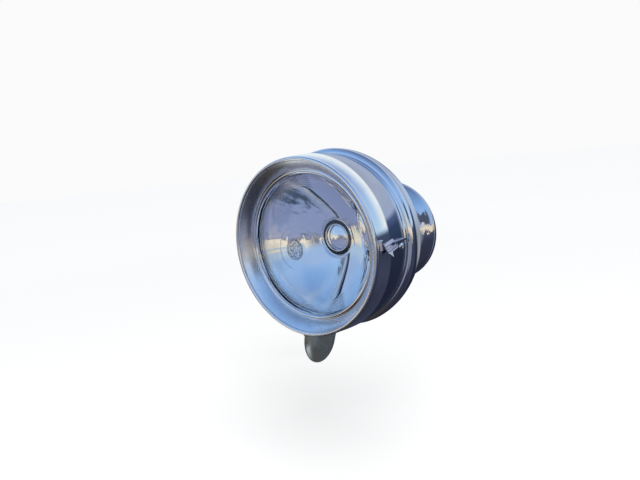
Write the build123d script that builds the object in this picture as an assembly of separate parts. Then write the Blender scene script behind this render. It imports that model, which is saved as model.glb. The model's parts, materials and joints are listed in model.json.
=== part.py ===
from build123d import *
from math import cos, radians, sin, sqrt
import os

os.makedirs("parts", exist_ok=True)

# Pillar-mounted vehicle spot lamp with a round mirror on its back, in millimetres.
# The origin is the middle of the pad that lies on the pillar, whose face is the plane X = 0.
# +X points away from the vehicle, +Z up, and the lamp's beam points along -Y.
# A half section has the distance from its axis first and the place along it second.

# Directions and places
LEAN = 18.0  # degrees that the lamp's swivel axis leans away from the pillar
TOE = 30.0  # degrees that the support tube turns back on its way into the vehicle
GRIP_TURN = 50.0  # degrees that the handle turns back from straight below the tube
REACH = 69.0  # pillar face to swivel axis, along the tube
SWIVEL_DEPTH = 62.0  # front lip to swivel axis
HEAD_STAND = 26.5  # tube axis to the head's lowest point, along the swivel axis
RUNNING_GAP = 0.05  # radial gap of a shaft in its bore
SEAT_GAP = 0.05  # gap between curved faces that seat on each other
END_GAP = 0.3  # gap between two faces that turn past each other
CUT_PAST = 5.0  # how far a cut runs on past the face that it opens

# Rear shell
SHELL_R = 88.5
SHELL_S = 57.0  # depth of its widest ring
SHELL_DEPTH = 63.0  # widest ring to the pole
SHELL_WALL = 1.3
SHOULDER_DROP = 1.6  # roundness of the shoulder just behind the seam
SKIRT_LENGTH = 26.0  # skirt inside the bezel
SKIRT_GAP = 0.3

# Bezel, the front ring of the lamp, from the shell's size inwards
SEAM_R = SHELL_R - 5.2  # joint with the rear shell
SEAM_S = 51.9
BAND_R = SEAM_R + 1.7  # widest part of the outer band
BAND_S = 30.0
LIP_R = BAND_R - 4.0
LIP_ROLL_R = 1.9
BEZEL_WALL = 1.4
DISH_WIDTH = 11.0
DISH_END_R = LIP_R - DISH_WIDTH
DISH_END_S = 15.0
DISH_SAG = 1.6  # how far the dish bows away from a straight cone
SEAT_BEAD_R = 2.2
SEAT_BEAD_IN = 0.8  # bead's centre inside the end of the dish
SEAT_BEAD_S = 0.1  # bead's centre behind that end
SEAM_BEAD_R = 0.9
SEAT_WIDTH = 4.0  # flat ring behind the dish that the gasket presses against

# Glass and what lies behind it
GASKET_IN_R = DISH_END_R - 2.4
GASKET_OUT_R = DISH_END_R + 3.0
GASKET_T = 1.2
LENS_R = DISH_END_R + 2.0
LENS_T = 4.0
DOME_R = LENS_R - 5.0  # foot of the lens's dome
DOME_RISE = 23.5
DOME_FOOT_WALL = 2.0  # radial wall of the glass at the dome's foot
REFLECTOR_WALL = 1.0
REFLECTOR_RIM_T = 1.6
REFLECTOR_FLANGE = 6.0
REFLECTOR_R = LENS_R - REFLECTOR_FLANGE
REFLECTOR_DEPTH = 63.13  # rim to vertex
FOCAL = REFLECTOR_R**2 / (4 * REFLECTOR_DEPTH)
NECK_R = 12.0  # bulb hole in the reflector
NECK_LENGTH = 16.0
RIM_GAP = 0.2
RETAINER_T = 1.2
RETAINER_IN_R = LENS_R - 3.0
RETAINER_GAP = 0.1

# Bulb and its shield
HOLDER_R = 14.5
HOLDER_T = 3.0
HOLDER_PLUG_L = 6.0  # plug that fills the reflector's neck
BULB_R = 8.5
BULB_BASE_R = 7.0
SHIELD_R = 14.2
SHIELD_RISE = 4.0
SHIELD_WALL = 0.8
SHIELD_TO_FOCUS = 9.0  # shield rim ahead of the reflector's focus
SHIELD_LEG_R = 0.9
SHIELD_LEGS = 2

# Clip that holds the bezel on the shell
CLIP_SCREW_S = 33.2
CLIP_T = 1.3
CLIP_BODY = 8.0  # how far the clip reaches in towards the band before it is cut to it
PLATE_HALF = 4.8  # half the width of the clip's plate
PLATE_FRONT = 12.5  # ahead of the screw
CLIP_FLANGE_H = 3.4
CLIP_FLANGE_L = 19.0
HOOK_AHEAD = 16.0  # middle of the hook's bar ahead of the screw
HOOK_RISE = 1.0
HOOK_STAND = 2.0
HOOK_TILT = 10.7  # degrees that the bar climbs towards the back
HOOK_LEAN = 24.0  # degrees that its lower edge stands away from the band
HOOK_L = 15.0
HOOK_S = CLIP_SCREW_S - HOOK_AHEAD
HOOK_W = 7.4
HOOK_FOLD = 2.4  # edge of the bar that is folded in towards the band
HOOK_TAB = 4.2
HOOK_TAB_W = 6.0
CLIP_PIN_R = 1.5
CLIP_PIN_L = 9.0
CLIP_PIN_S = HOOK_S - HOOK_L / 2 - 4.1  # clear of the hook's front end
CLIP_PIN_RISE = 4.0
CLIP_PIN_SUNK = 0.4  # pin's axis inside the band's widest ring
CLIP_SCREW_DROP = 1.2  # screw axis below the clip's middle
CLIP_SCREW_R = 2.0
CLIP_HEAD_R = 3.6
CLIP_HEAD_H = 2.6

# Swivel under the head
COLLAR_R = 15.0
COLLAR_FLANGE_R = 17.5
COLLAR_FLANGE_T = 3.5
COLLAR_NECK_R = 9.0
CASE_R = 16.5
CASE_TOP = 18.0
CASE_TIP = 32.0
CASE_STRAIGHT = 2.0  # the case tapers from this far below the tube axis
SPIGOT_R = 6.5
SWIVEL_NUT_R = 12.0
SWIVEL_NUT_T = 4.5
NUT_RISE = 17.5  # collar's lower face to the swivel nut

# Support tube and the parts on the pillar
TUBE_R = 11.0
TUBE_BORE_R = 9.0
SOCKET_R = 14.5
SOCKET_END = 30.0
TUBE_START = 15.0
INNER_REACH = 190.0  # pillar face to grip axis, along the tube
PAD_T = 1.5
BASE_HALF_Y = 24.0
BASE_HALF_Z = 33.4  # short enough for the bezel to swing over it
BASE_T = 6.0
BASE_ROUND = 2.2
NECK_FOOT_Y = 19.0
NECK_FOOT_Z = 20.0
NECK_OUT_R = 17.0
NECK_TAPER_END = 29.0
SLEEVE_R = 14.0
SLEEVE_START = 14.0
SLEEVE_END = 87.0
PAD_HOLE_R = 19.5
SCREW_PITCH = 54.0
SCREW_R = 2.4  # shoulder that fills the hole in pad and base
SCREW_THREAD_R = 2.1
SCREW_HEAD_R = 4.4
SCREW_HEAD_H = 2.4
SCREW_LENGTH = 22.0
PILLAR_T = 46.0
PILLAR_WIDTH = 140.0
WEDGE_R = 22.0
WEDGE_END = 74.0
NUT_FLATS = 36.0
NUT_T = 9.0
STOP_R = 17.0
STOP_T = 10.0

# Handle inside the vehicle
INNER_CASE_R = 16.0
INNER_CASE_HALF = 20.0
INNER_SOCKET_L = 27.0
GRIP_PIN_R = 6.0
GRIP_PIN_L = 30.0
FERRULE_R = 14.5
FERRULE_T = 9.0
GRIP_L = 92.0
GRIP_TOP_R = 12.5
GRIP_BELLY_R = 16.5
GRIP_END_R = 12.0
GRIP_FLUTES = 10
FLUTE_R = 3.2
FLUTE_DEPTH = 1.1
FLUTE_END = 10.0  # plain stretch of the grip at each end of its flutes
EDGE_ROUND = 1.5  # rounded edges of ferrule and button
BUTTON_R = 6.5
BUTTON_RISE = 4.5
BUTTON_TRAVEL = 2.5
BUTTON_DEPTH = 9.0

# Mirror on the back of the lamp
MIRROR_DROP = 10.0  # lamp axis to mirror centre
POST_LENGTH = 19.0  # shell's pole to the ball's centre
BALL_S = SHELL_S + SHELL_DEPTH + POST_LENGTH
BALL_R = 8.0
STEM_R = 4.0
FOOT_R = 12.0
FOOT_END_S = SHELL_S + SHELL_DEPTH + 2.5
FOOT_BURIED = 8.0  # length of the foot's flange that the shell's curve cuts away
STEM_TAIL = 5.0  # stem that reaches on inside the shell
LINER_R = 10.0
LINER_MOUTH = 50.0
LINER_BACK = 145.0
HUB_R = 13.5
HUB_MOUTH = 52.0  # degrees from straight ahead to the hub's front face
HUB_MOUTH_R = 8.2
HUB_BACK = 12.5
MIRROR_WALL = 1.2
MIRROR_BACK_R = 57.0
MIRROR_STAND = 24.0  # ball's centre to the mirror's rim
MIRROR_BACK_S = BALL_S + MIRROR_STAND
MIRROR_BOW = 3.5
RIM_R = 58.0
RIM_T = 5.0
RIM_LIP_R = 54.5
GLASS_R = 56.0
GLASS_T = 2.4

HEAD_RISE = SHELL_R + HEAD_STAND  # tube axis to lamp axis, along the swivel axis
UP = Vector(sin(radians(LEAN)), 0, cos(radians(LEAN)))
OUT = Vector(cos(radians(LEAN)), 0, -sin(radians(LEAN)))
BACK = Vector(0, 1, 0)
SIDE = Vector(1, 0, 0)
HIGH = Vector(0, 0, 1)
INWARD = OUT * -cos(radians(TOE)) + BACK * sin(radians(TOE))
GRIP_DOWN = UP * -cos(radians(GRIP_TURN)) + INWARD.cross(UP) * sin(radians(GRIP_TURN))
GEAR = INWARD * -REACH
LIP = GEAR + UP * HEAD_RISE - BACK * SWIVEL_DEPTH
HANDLE = INWARD * INNER_REACH
BALL = LIP + BACK * BALL_S - HIGH * MIRROR_DROP


def half_section(at, radial, axial):
    """Plane for a half section: distance from the axis first, place along it second."""
    return Plane(origin=at, x_dir=radial, z_dir=radial.cross(axial))


LAMP = half_section(LIP, SIDE, BACK)
SWIVEL = half_section(GEAR, OUT, UP)
TUBE = half_section(Vector(0, 0, 0), UP, INWARD)
GRIP = half_section(HANDLE, INWARD, GRIP_DOWN)
MIRROR = half_section(BALL, SIDE, BACK)


def turned(outline, plane):
    """Solid of revolution from a closed half section."""
    face = (outline if isinstance(outline, Sketch) else make_face(outline)).face()
    if face.normal_at().Z < 0:
        face = -face
    return revolve(plane * face, Axis(plane.origin, plane.y_dir))


def ring(inner, outer, start, end, plane):
    """Plain ring or disc between two places on a plane's axis."""
    width, height = outer - inner, end - start
    return turned(Pos((inner + outer) / 2, (start + end) / 2) * Rectangle(width, height), plane)


def round_nose(radius, place, depth):
    """Quarter ellipse from a radius in to the axis, a depth further along it."""
    tip = place + depth
    return Bezier((radius, place), (radius, tip), (0, tip), weights=[1, sqrt(0.5), 1])


def bead(radius, place, size, plane):
    """Round bead that runs round a plane's axis."""
    return turned(Pos(radius, place) * Circle(size), plane)


def band_strip(wall, inset=0.0):
    """Curved strip of the bezel's outer band, or of what lies under it."""
    points = [(LIP_R + LIP_ROLL_R - 0.4, LIP_ROLL_R), (BAND_R, BAND_S), (SEAM_R, SEAM_S)]
    outer = ThreePointArc(*[(r - inset, s) for r, s in points])
    inner = ThreePointArc(*[(r - inset - wall, s) for r, s in points])
    return make_face([outer, Line(outer @ 1, inner @ 1), inner, Line(inner @ 0, outer @ 0)])


def dish_strip():
    """Dished strip from the rolled lip in to the glass."""
    start, end = Vector(LIP_R - 0.8, LIP_ROLL_R + 0.9), Vector(DISH_END_R, DISH_END_S)
    middle = (start + end) * 0.5 + Vector(-1, -1, 0).normalized() * DISH_SAG
    back = Vector(0, BEZEL_WALL * 1.2)
    front = ThreePointArc(start, middle, end)
    rear = ThreePointArc(start + back, middle + back, end + back)
    return make_face([front, Line(front @ 1, rear @ 1), rear, Line(rear @ 0, front @ 0)])


def clip_face():
    """Distance from the lamp axis to the clip's outer face."""
    return BAND_R + CLIP_T


def clip_screw_place():
    """Start of the clip screw's axis, beside the lamp axis."""
    return LIP + BACK * CLIP_SCREW_S - HIGH * CLIP_SCREW_DROP


def clip_screw_axis(radius, start, end):
    """Cylinder across the band on the clip screw's axis, between two distances from the lamp axis."""
    at = clip_screw_place() + SIDE * start
    return Plane(origin=at, z_dir=SIDE) * extrude(Circle(radius), end - start)


def make_bezel():
    seat_s = DISH_END_S + BEZEL_WALL
    seat = turned(Pos(DISH_END_R, seat_s) * Rectangle(SEAT_WIDTH, BEZEL_WALL * 1.4), LAMP)
    body = turned(band_strip(BEZEL_WALL), LAMP) + turned(dish_strip(), LAMP) + seat
    body += bead(LIP_R, LIP_ROLL_R, LIP_ROLL_R, LAMP)
    body += bead(DISH_END_R - SEAT_BEAD_IN, DISH_END_S + SEAT_BEAD_S, SEAT_BEAD_R, LAMP)
    body += bead(SEAM_R - 0.3, SEAM_S - SEAM_BEAD_R, SEAM_BEAD_R, LAMP)
    return body - clip_screw_axis(CLIP_SCREW_R + SEAT_GAP, LIP_R - CUT_PAST, BAND_R + CUT_PAST)


def gasket_front():
    """Depth of the face that the lens gasket presses against."""
    return DISH_END_S + BEZEL_WALL + BEZEL_WALL * 0.7


def lens_front():
    return gasket_front() + GASKET_T


def make_lens_gasket():
    return ring(GASKET_IN_R, GASKET_OUT_R, gasket_front(), lens_front(), LAMP)


def make_lens():
    front = lens_front()
    rear = front + LENS_T
    apex = front - DOME_RISE
    ball_r = (DOME_R**2 + DOME_RISE**2) / (2 * DOME_RISE)
    half = DOME_R / 2
    sag = ball_r - sqrt(ball_r**2 - half**2)
    foot = DOME_R - DOME_FOOT_WALL
    inner_r = ball_r - LENS_T
    inner_foot = apex + ball_r - sqrt(inner_r**2 - foot**2)
    inner_sag = inner_r - sqrt(inner_r**2 - half**2)
    dome = ThreePointArc((0, apex), (half, apex + sag), (DOME_R, front))
    hollow = ThreePointArc((foot, inner_foot), (half, apex + LENS_T + inner_sag), (0, apex + LENS_T))
    rim = Polyline((DOME_R, front), (LENS_R, front), (LENS_R, rear), (foot, rear), (foot, inner_foot))
    return turned([dome, rim, hollow, Line((0, apex + LENS_T), (0, apex))], LAMP)


def reflector_front():
    return lens_front() + LENS_T + RIM_GAP


def vertex_depth():
    return reflector_front() + REFLECTOR_DEPTH


def parabola(first, last, offset=0.0):
    """Exact arc of the reflector's parabola between two radii."""
    def depth(r):
        return vertex_depth() + offset - r**2 / (4 * FOCAL)
    middle = depth(first) - (last - first) * first / (4 * FOCAL)
    return Bezier((first, depth(first)), ((first + last) / 2, middle), (last, depth(last)))


def make_reflector():
    inner = parabola(NECK_R, REFLECTOR_R)
    outer = parabola(REFLECTOR_R, NECK_R + REFLECTOR_WALL, REFLECTOR_RIM_T)
    face_s = reflector_front()
    rear_s = (outer @ 0).Y
    neck_end = (inner @ 0).Y + NECK_LENGTH
    rim = Polyline(inner @ 1, (LENS_R, face_s), (LENS_R, rear_s), outer @ 0)
    neck = Polyline(outer @ 1, (NECK_R + REFLECTOR_WALL, neck_end), (NECK_R, neck_end), inner @ 0)
    return turned([inner, rim, outer, neck], LAMP)


def retainer_front():
    return reflector_front() + REFLECTOR_RIM_T


def make_retainer():
    start = retainer_front()
    return ring(RETAINER_IN_R, band_inner_r(start) - RETAINER_GAP, start, start + RETAINER_T, LAMP)


def band_inner_r(depth):
    """Inner radius of the bezel's band at a depth behind the lip."""
    level = Pos(BAND_R / 2, depth) * Rectangle(BAND_R, 0.1)
    return min(v.X for v in (level & band_strip(BEZEL_WALL)).vertices())


def holder_front():
    return vertex_depth() - NECK_R**2 / (4 * FOCAL) + NECK_LENGTH - HOLDER_PLUG_L


def make_bulb_holder():
    start = holder_front()
    flange_s = start + HOLDER_PLUG_L + END_GAP
    plug = ring(0, NECK_R - SEAT_GAP, start, flange_s, LAMP)
    return plug + ring(0, HOLDER_R, flange_s, flange_s + HOLDER_T, LAMP)


def make_bulb():
    end = holder_front()
    focus = vertex_depth() - FOCAL
    glass = ThreePointArc((0, focus - BULB_R), (BULB_R, focus), (BULB_BASE_R, focus + BULB_R))
    stem = Polyline((BULB_BASE_R, focus + BULB_R), (BULB_BASE_R, end), (0, end), (0, focus - BULB_R))
    return turned([glass, stem], LAMP)


def make_bulb_shield():
    rim_s = vertex_depth() - FOCAL - SHIELD_TO_FOCUS
    apex = rim_s - SHIELD_RISE
    ball_r = (SHIELD_R**2 + SHIELD_RISE**2) / (2 * SHIELD_RISE)
    half = SHIELD_R / 2
    middle = (half, apex + ball_r - sqrt(ball_r**2 - half**2))
    front = ThreePointArc((0, apex), middle, (SHIELD_R, rim_s))
    rear = ThreePointArc((SHIELD_R, rim_s + SHIELD_WALL), (half, middle[1] + SHIELD_WALL),
                         (0, apex + SHIELD_WALL))
    cap = turned([front, Line(front @ 1, rear @ 0), rear, Line(rear @ 1, front @ 0)], LAMP)
    leg_r = NECK_R - SHIELD_LEG_R - END_GAP
    start = rim_s - SHIELD_WALL * 0.75
    for n in range(SHIELD_LEGS):
        turn = radians(90 + 360 * n / SHIELD_LEGS)
        at = LIP + SIDE * (leg_r * cos(turn)) + HIGH * (leg_r * sin(turn)) + BACK * start
        cap += Plane(origin=at, z_dir=BACK) * extrude(Circle(SHIELD_LEG_R), holder_front() - start)
    return cap


def shell_form(inset=0.0):
    """Rear shell's rounded outer form, filled, as a solid of revolution."""
    radius, depth = SHELL_R - inset, SHELL_DEPTH - inset
    dome = round_nose(radius, SHELL_S, depth)
    front = SEAM_S + SEAT_GAP + inset
    bow = (radius - SHOULDER_DROP, front + SHOULDER_DROP)
    shoulder = ThreePointArc((SEAM_R - inset, front), bow, (radius, SHELL_S))
    close = Polyline((0, SHELL_S + depth), (0, front), (SEAM_R - inset, front))
    return turned([shoulder, dome, close], LAMP)


def skirt_r():
    return SEAM_R - BEZEL_WALL - SKIRT_GAP


def make_shell():
    body = shell_form() - shell_form(SHELL_WALL)
    wall_r = skirt_r() - SHELL_WALL
    body -= ring(0, wall_r, SEAM_S - 1, SEAM_S + 2 * SHELL_WALL, LAMP)
    body += ring(wall_r, skirt_r(), SEAM_S - SKIRT_LENGTH, SEAM_S + SHELL_WALL, LAMP)
    body -= collar_hole()
    body -= clip_screw_axis(CLIP_SCREW_R + SEAT_GAP, wall_r - CUT_PAST, skirt_r() + 1)
    stem = Plane(origin=LIP - HIGH * MIRROR_DROP + BACK * SHELL_S, z_dir=BACK)
    return body - stem * extrude(Circle(STEM_R + SEAT_GAP), SHELL_DEPTH + CUT_PAST)


def collar_hole():
    return ring(0, COLLAR_NECK_R + SEAT_GAP, CASE_TOP, HEAD_RISE - SHELL_R / 2, SWIVEL)


def collar_base():
    return CASE_TOP + END_GAP


def make_swivel_collar():
    base = collar_base()
    top = base + NUT_RISE - END_GAP
    flange = ring(0, COLLAR_FLANGE_R, base, base + COLLAR_FLANGE_T, SWIVEL)
    body = flange + ring(0, COLLAR_R, base, HEAD_RISE - SHELL_R + 4, SWIVEL)
    body -= shell_form(-SEAT_GAP)
    body -= turned(Pos(SEAM_R / 2 + 3, SEAM_S / 2) * Rectangle(SEAM_R + 6, SEAM_S + 2), LAMP)
    body += ring(0, COLLAR_NECK_R, base, top, SWIVEL)
    return body - ring(0, SPIGOT_R + RUNNING_GAP, base - 1, top + 1, SWIVEL)


def make_swivel_nut():
    start = collar_base() + NUT_RISE
    return ring(SPIGOT_R + SEAT_GAP, SWIVEL_NUT_R, start, start + SWIVEL_NUT_T, SWIVEL)


def make_elbow_case():
    taper = round_nose(CASE_R, -CASE_STRAIGHT, CASE_STRAIGHT - CASE_TIP)
    walls = Polyline((CASE_R, -CASE_STRAIGHT), (CASE_R, CASE_TOP - 1.5), (CASE_R - 1.5, CASE_TOP),
                     (0, CASE_TOP), (0, -CASE_TIP))
    case = turned([taper, walls], SWIVEL)
    case += ring(0, SOCKET_R, -REACH, SOCKET_END - REACH, TUBE)
    nut_top = collar_base() + NUT_RISE + SWIVEL_NUT_T
    case += ring(0, SPIGOT_R, CASE_TOP, nut_top, SWIVEL)
    return case - ring(0, TUBE_R + SEAT_GAP, TUBE_START - REACH, SOCKET_END + CUT_PAST - REACH, TUBE)


def make_arm_tube():
    return ring(TUBE_BORE_R, TUBE_R, TUBE_START - REACH, INNER_REACH - TUBE_START, TUBE)


def neck_end():
    """Outer end of the bracket's neck, measured out from the pillar face."""
    return REACH - SOCKET_END - END_GAP


def on_pillar(height):
    """Plane parallel to the pillar face with +Z of the vehicle as its second direction."""
    return Plane(origin=SIDE * height, x_dir=BACK, z_dir=SIDE)


def make_bracket():
    base = on_pillar(PAD_T) * extrude(Ellipse(BASE_HALF_Y, BASE_HALF_Z), BASE_T)
    base = fillet(base.faces().sort_by(Axis.X)[-1].edges(), BASE_ROUND)
    foot_x = PAD_T + BASE_T - 1.0
    foot_at = INWARD * (foot_x / INWARD.X)
    foot = Plane(origin=foot_at, x_dir=BACK, z_dir=SIDE) * Ellipse(NECK_FOOT_Y, NECK_FOOT_Z)
    top = Plane(origin=INWARD * -NECK_TAPER_END, x_dir=BACK, z_dir=INWARD * -1) * Circle(NECK_OUT_R)
    body = base + loft([foot, top])
    body += ring(0, NECK_OUT_R, -neck_end(), -NECK_TAPER_END, TUBE)
    body -= ring(0, TUBE_R + RUNNING_GAP, -neck_end() - CUT_PAST, NECK_FOOT_Y, TUBE)
    body -= ring(0, SLEEVE_R + SEAT_GAP, -SLEEVE_START, NECK_FOOT_Y, TUBE)
    return body - screw_holes()


def screw_holes():
    """Pair of screw holes through pad and base."""
    holes = [Pos(0, side * SCREW_PITCH / 2) * Circle(SCREW_R + SEAT_GAP) for side in (-1, 1)]
    return extrude(on_pillar(-CUT_PAST) * Sketch(children=holes), PAD_T + BASE_T + 2 * CUT_PAST)


def make_pad():
    body = on_pillar(0) * extrude(Ellipse(BASE_HALF_Y, BASE_HALF_Z) - Circle(PAD_HOLE_R), PAD_T)
    return body - screw_holes()


def screw_head(radius, height, place, plane):
    """Domed screw head on a plane's axis."""
    under = Polyline((0, place + height), (0, place), (radius, place))
    return turned([round_nose(radius, place, height), under], plane)


def make_screw(side):
    head_s = PAD_T + BASE_T
    at = half_section(HIGH * (side * SCREW_PITCH / 2), BACK, SIDE)
    shank = ring(0, SCREW_R, 0, head_s, at) + ring(0, SCREW_THREAD_R, -SCREW_LENGTH, 0, at)
    return shank + screw_head(SCREW_HEAD_R, SCREW_HEAD_H, head_s, at)


def make_sleeve():
    return ring(TUBE_R + RUNNING_GAP, SLEEVE_R, -SLEEVE_START, SLEEVE_END, TUBE)


def make_wedge():
    body = ring(SLEEVE_R + SEAT_GAP, WEDGE_R, 0, WEDGE_END, TUBE)
    pillar = on_pillar(-PILLAR_T) * extrude(Rectangle(PILLAR_WIDTH, PILLAR_WIDTH), PILLAR_T + WEDGE_R)
    return body - pillar


def make_lock_nut():
    at = Plane(origin=INWARD * WEDGE_END, x_dir=UP, z_dir=INWARD)
    body = at * extrude(RegularPolygon(NUT_FLATS / 2, 6, major_radius=False), NUT_T)
    return body - ring(0, SLEEVE_R + SEAT_GAP, WEDGE_END - 1, WEDGE_END + NUT_T + 1, TUBE)


def make_stop_collar():
    start = SLEEVE_END + END_GAP
    return ring(TUBE_R + SEAT_GAP, STOP_R, start, start + STOP_T, TUBE)


def make_handle_case():
    half = INNER_CASE_HALF
    walls = Polyline((0, half), (INNER_CASE_R, half), (INNER_CASE_R, 0))
    cap = round_nose(INNER_CASE_R, 0, -half)
    case = turned([cap, walls, Line((0, half), (0, -half))], GRIP)
    case += ring(0, SOCKET_R, INNER_REACH - INNER_SOCKET_L, INNER_REACH, TUBE)
    case += ring(0, GRIP_PIN_R, half, half + GRIP_PIN_L, GRIP)
    return case - ring(0, TUBE_R + SEAT_GAP, INNER_REACH - INNER_SOCKET_L - 1,
                       INNER_REACH - TUBE_START, TUBE)


def ferrule_start():
    return INNER_CASE_HALF + END_GAP


def grip_start():
    return ferrule_start() + FERRULE_T


def make_ferrule():
    start = ferrule_start()
    body = ring(0, FERRULE_R, start, start + FERRULE_T, GRIP)
    body = fillet(body.edges().filter_by(GeomType.CIRCLE).group_by(SortBy.RADIUS)[-1], EDGE_ROUND)
    return body - ring(0, GRIP_PIN_R + RUNNING_GAP, start - 1, start + FERRULE_T + 1, GRIP)


def grip_end():
    return grip_start() + GRIP_L


def make_grip():
    start, end = grip_start(), grip_end()
    side = Spline((GRIP_TOP_R, start), (GRIP_BELLY_R, start + GRIP_L * 0.68), (GRIP_END_R, end))
    walls = Polyline((GRIP_END_R, end), (0, end), (0, start), (GRIP_TOP_R, start))
    body = turned([side, walls], GRIP)
    for n in range(GRIP_FLUTES):
        turn = radians(360 * n / GRIP_FLUTES)
        across = INWARD * cos(turn) + INWARD.cross(GRIP_DOWN) * sin(turn)
        place = GRIP_BELLY_R + FLUTE_R - FLUTE_DEPTH
        at = HANDLE + GRIP_DOWN * (start + FLUTE_END) + across * place
        body -= Plane(origin=at, z_dir=GRIP_DOWN) * extrude(Circle(FLUTE_R), GRIP_L - 2 * FLUTE_END)
    body -= ring(0, GRIP_PIN_R + RUNNING_GAP, start - 1, INNER_CASE_HALF + GRIP_PIN_L + END_GAP, GRIP)
    return body - ring(0, BUTTON_R + RUNNING_GAP, end - BUTTON_DEPTH, end + 1, GRIP)


def make_button():
    start = grip_end() - BUTTON_DEPTH + BUTTON_TRAVEL + END_GAP
    end = grip_end() + BUTTON_RISE
    body = ring(0, BUTTON_R, start, end, GRIP)
    return fillet(body.edges().filter_by(GeomType.CIRCLE).sort_by(Axis.Z)[0], EDGE_ROUND)


def make_clip_pin():
    rise = CLIP_PIN_RISE - CLIP_PIN_L / 2
    at = LIP + SIDE * (BAND_R - CLIP_PIN_SUNK) + BACK * CLIP_PIN_S + HIGH * rise
    pin = Plane(origin=at, z_dir=HIGH) * extrude(Circle(CLIP_PIN_R), CLIP_PIN_L)
    return pin - bezel_form(SEAT_GAP)


def bezel_form(gap):
    """Filled outer form of the bezel, grown by a gap."""
    strip = band_strip(DISH_END_R, -gap)
    return turned(strip, LAMP)


def hook_plane():
    """Plane on the outer face of the hook's bar: its x runs back along the bar, its y up across it."""
    tilt, lean = radians(HOOK_TILT), radians(HOOK_LEAN)
    along = BACK * cos(tilt) + HIGH * sin(tilt)
    across = (HIGH * cos(tilt) - BACK * sin(tilt)) * cos(lean) - SIDE * sin(lean)
    at = LIP + SIDE * (BAND_R + HOOK_STAND) + BACK * HOOK_S + HIGH * HOOK_RISE
    return Plane(origin=at, x_dir=along, z_dir=along.cross(across))


def make_hook():
    """Bar that leans out from the band, with its lower edge folded in and a pointed tab in front."""
    plane = hook_plane()
    low, front = -HOOK_W / 2, -HOOK_L / 2
    bar = Pos(0, CLIP_T / 2) * Rectangle(HOOK_L, HOOK_W + CLIP_T)
    fold = Pos(0, low + CLIP_T / 2) * Rectangle(HOOK_L, CLIP_T)
    tab = make_face(Polyline((front, low + CLIP_T), (front + HOOK_TAB_W * 0.6, low - HOOK_TAB),
                             (front + HOOK_TAB_W, low + CLIP_T), close=True))
    body = plane * extrude(bar, -CLIP_T) + plane * extrude(fold, -HOOK_FOLD)
    return body + plane * extrude(tab, -CLIP_T)


def make_clip():
    face = clip_face()
    at = clip_screw_place() + SIDE * (face - CLIP_T - CLIP_BODY)
    plate_plane = Plane(origin=at, x_dir=BACK, z_dir=SIDE)
    strip = Pos(-PLATE_FRONT / 2, CLIP_SCREW_DROP) * Rectangle(PLATE_FRONT, PLATE_HALF * 2)
    eye = Pos(0, CLIP_SCREW_DROP) * Circle(PLATE_HALF)
    flange = (Pos(CLIP_FLANGE_L / 2 - PLATE_FRONT, CLIP_SCREW_DROP + PLATE_HALF - CLIP_T / 2)
              * Rectangle(CLIP_FLANGE_L, CLIP_T))
    body = plate_plane * extrude(strip + eye, CLIP_BODY + CLIP_T)
    body += plate_plane * extrude(flange, CLIP_BODY + CLIP_T + CLIP_FLANGE_H)
    body += make_hook()
    body -= bezel_form(SEAT_GAP)
    return body - clip_screw_axis(CLIP_SCREW_R + SEAT_GAP, LIP_R - CUT_PAST, face + CUT_PAST)


def make_clip_screw():
    face = clip_face()
    at = half_section(clip_screw_place(), BACK, SIDE)
    shank = ring(0, CLIP_SCREW_R, skirt_r() - SHELL_WALL - CLIP_SCREW_R, face, at)
    return shank + screw_head(CLIP_HEAD_R, CLIP_HEAD_H, face, at)


def make_mirror_post():
    ball = Pos(BALL) * Sphere(BALL_R)
    pole = SHELL_S + SHELL_DEPTH - BALL_S
    stem = ring(0, STEM_R, pole - SHELL_WALL - STEM_TAIL, 0, MIRROR)
    foot = ring(0, FOOT_R, pole - FOOT_BURIED, FOOT_END_S - BALL_S, MIRROR)
    foot -= shell_form(-SEAT_GAP)
    return ball + stem + foot


def spherical_ring(inner, outer, first, last):
    """Ring between two spheres round the ball, between two angles from straight ahead."""
    def at(radius, angle):
        return (radius * sin(radians(angle)), -radius * cos(radians(angle)))
    middle = (first + last) / 2
    outside = ThreePointArc(at(outer, first), at(outer, middle), at(outer, last))
    inside = ThreePointArc(at(inner, last), at(inner, middle), at(inner, first))
    face = make_face([outside, Line(outside @ 1, inside @ 0), inside, Line(inside @ 1, outside @ 0)])
    return turned(face, MIRROR)


def make_ball_liner():
    return spherical_ring(BALL_R + RUNNING_GAP, LINER_R, LINER_MOUTH, LINER_BACK)


def make_mirror_shell():
    bore = LINER_R + RUNNING_GAP
    hub_front = -bore * cos(radians(HUB_MOUTH))
    rim_s = MIRROR_BACK_S - BALL_S
    start, end = Vector(HUB_R - 1, hub_front + 2.5), Vector(MIRROR_BACK_R, rim_s)
    middle = (start + end) * 0.5 + Vector(0.45, -0.9, 0) * MIRROR_BOW
    back = Vector(0, MIRROR_WALL * 1.25)
    front = ThreePointArc(start, middle, end)
    rear = ThreePointArc(start + back, middle + back, end + back)
    dish = turned([front, Line(front @ 1, rear @ 1), rear, Line(rear @ 0, front @ 0)], MIRROR)
    body = dish + ring(0, HUB_R, hub_front, HUB_BACK, MIRROR)
    body -= Pos(BALL) * Sphere(bore)
    return body - ring(0, HUB_MOUTH_R, hub_front - 4, 0, MIRROR)


def glass_front():
    return MIRROR_BACK_S + MIRROR_WALL * 1.25 - BALL_S


def make_mirror_glass():
    return ring(0, GLASS_R, glass_front(), glass_front() + GLASS_T, MIRROR)


def make_mirror_rim():
    start = MIRROR_BACK_S - BALL_S
    end = start + RIM_T
    body = ring(MIRROR_BACK_R + SEAT_GAP, RIM_R, start, end, MIRROR)
    body += ring(RIM_LIP_R, RIM_R, glass_front() + GLASS_T, end, MIRROR)
    return body


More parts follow.
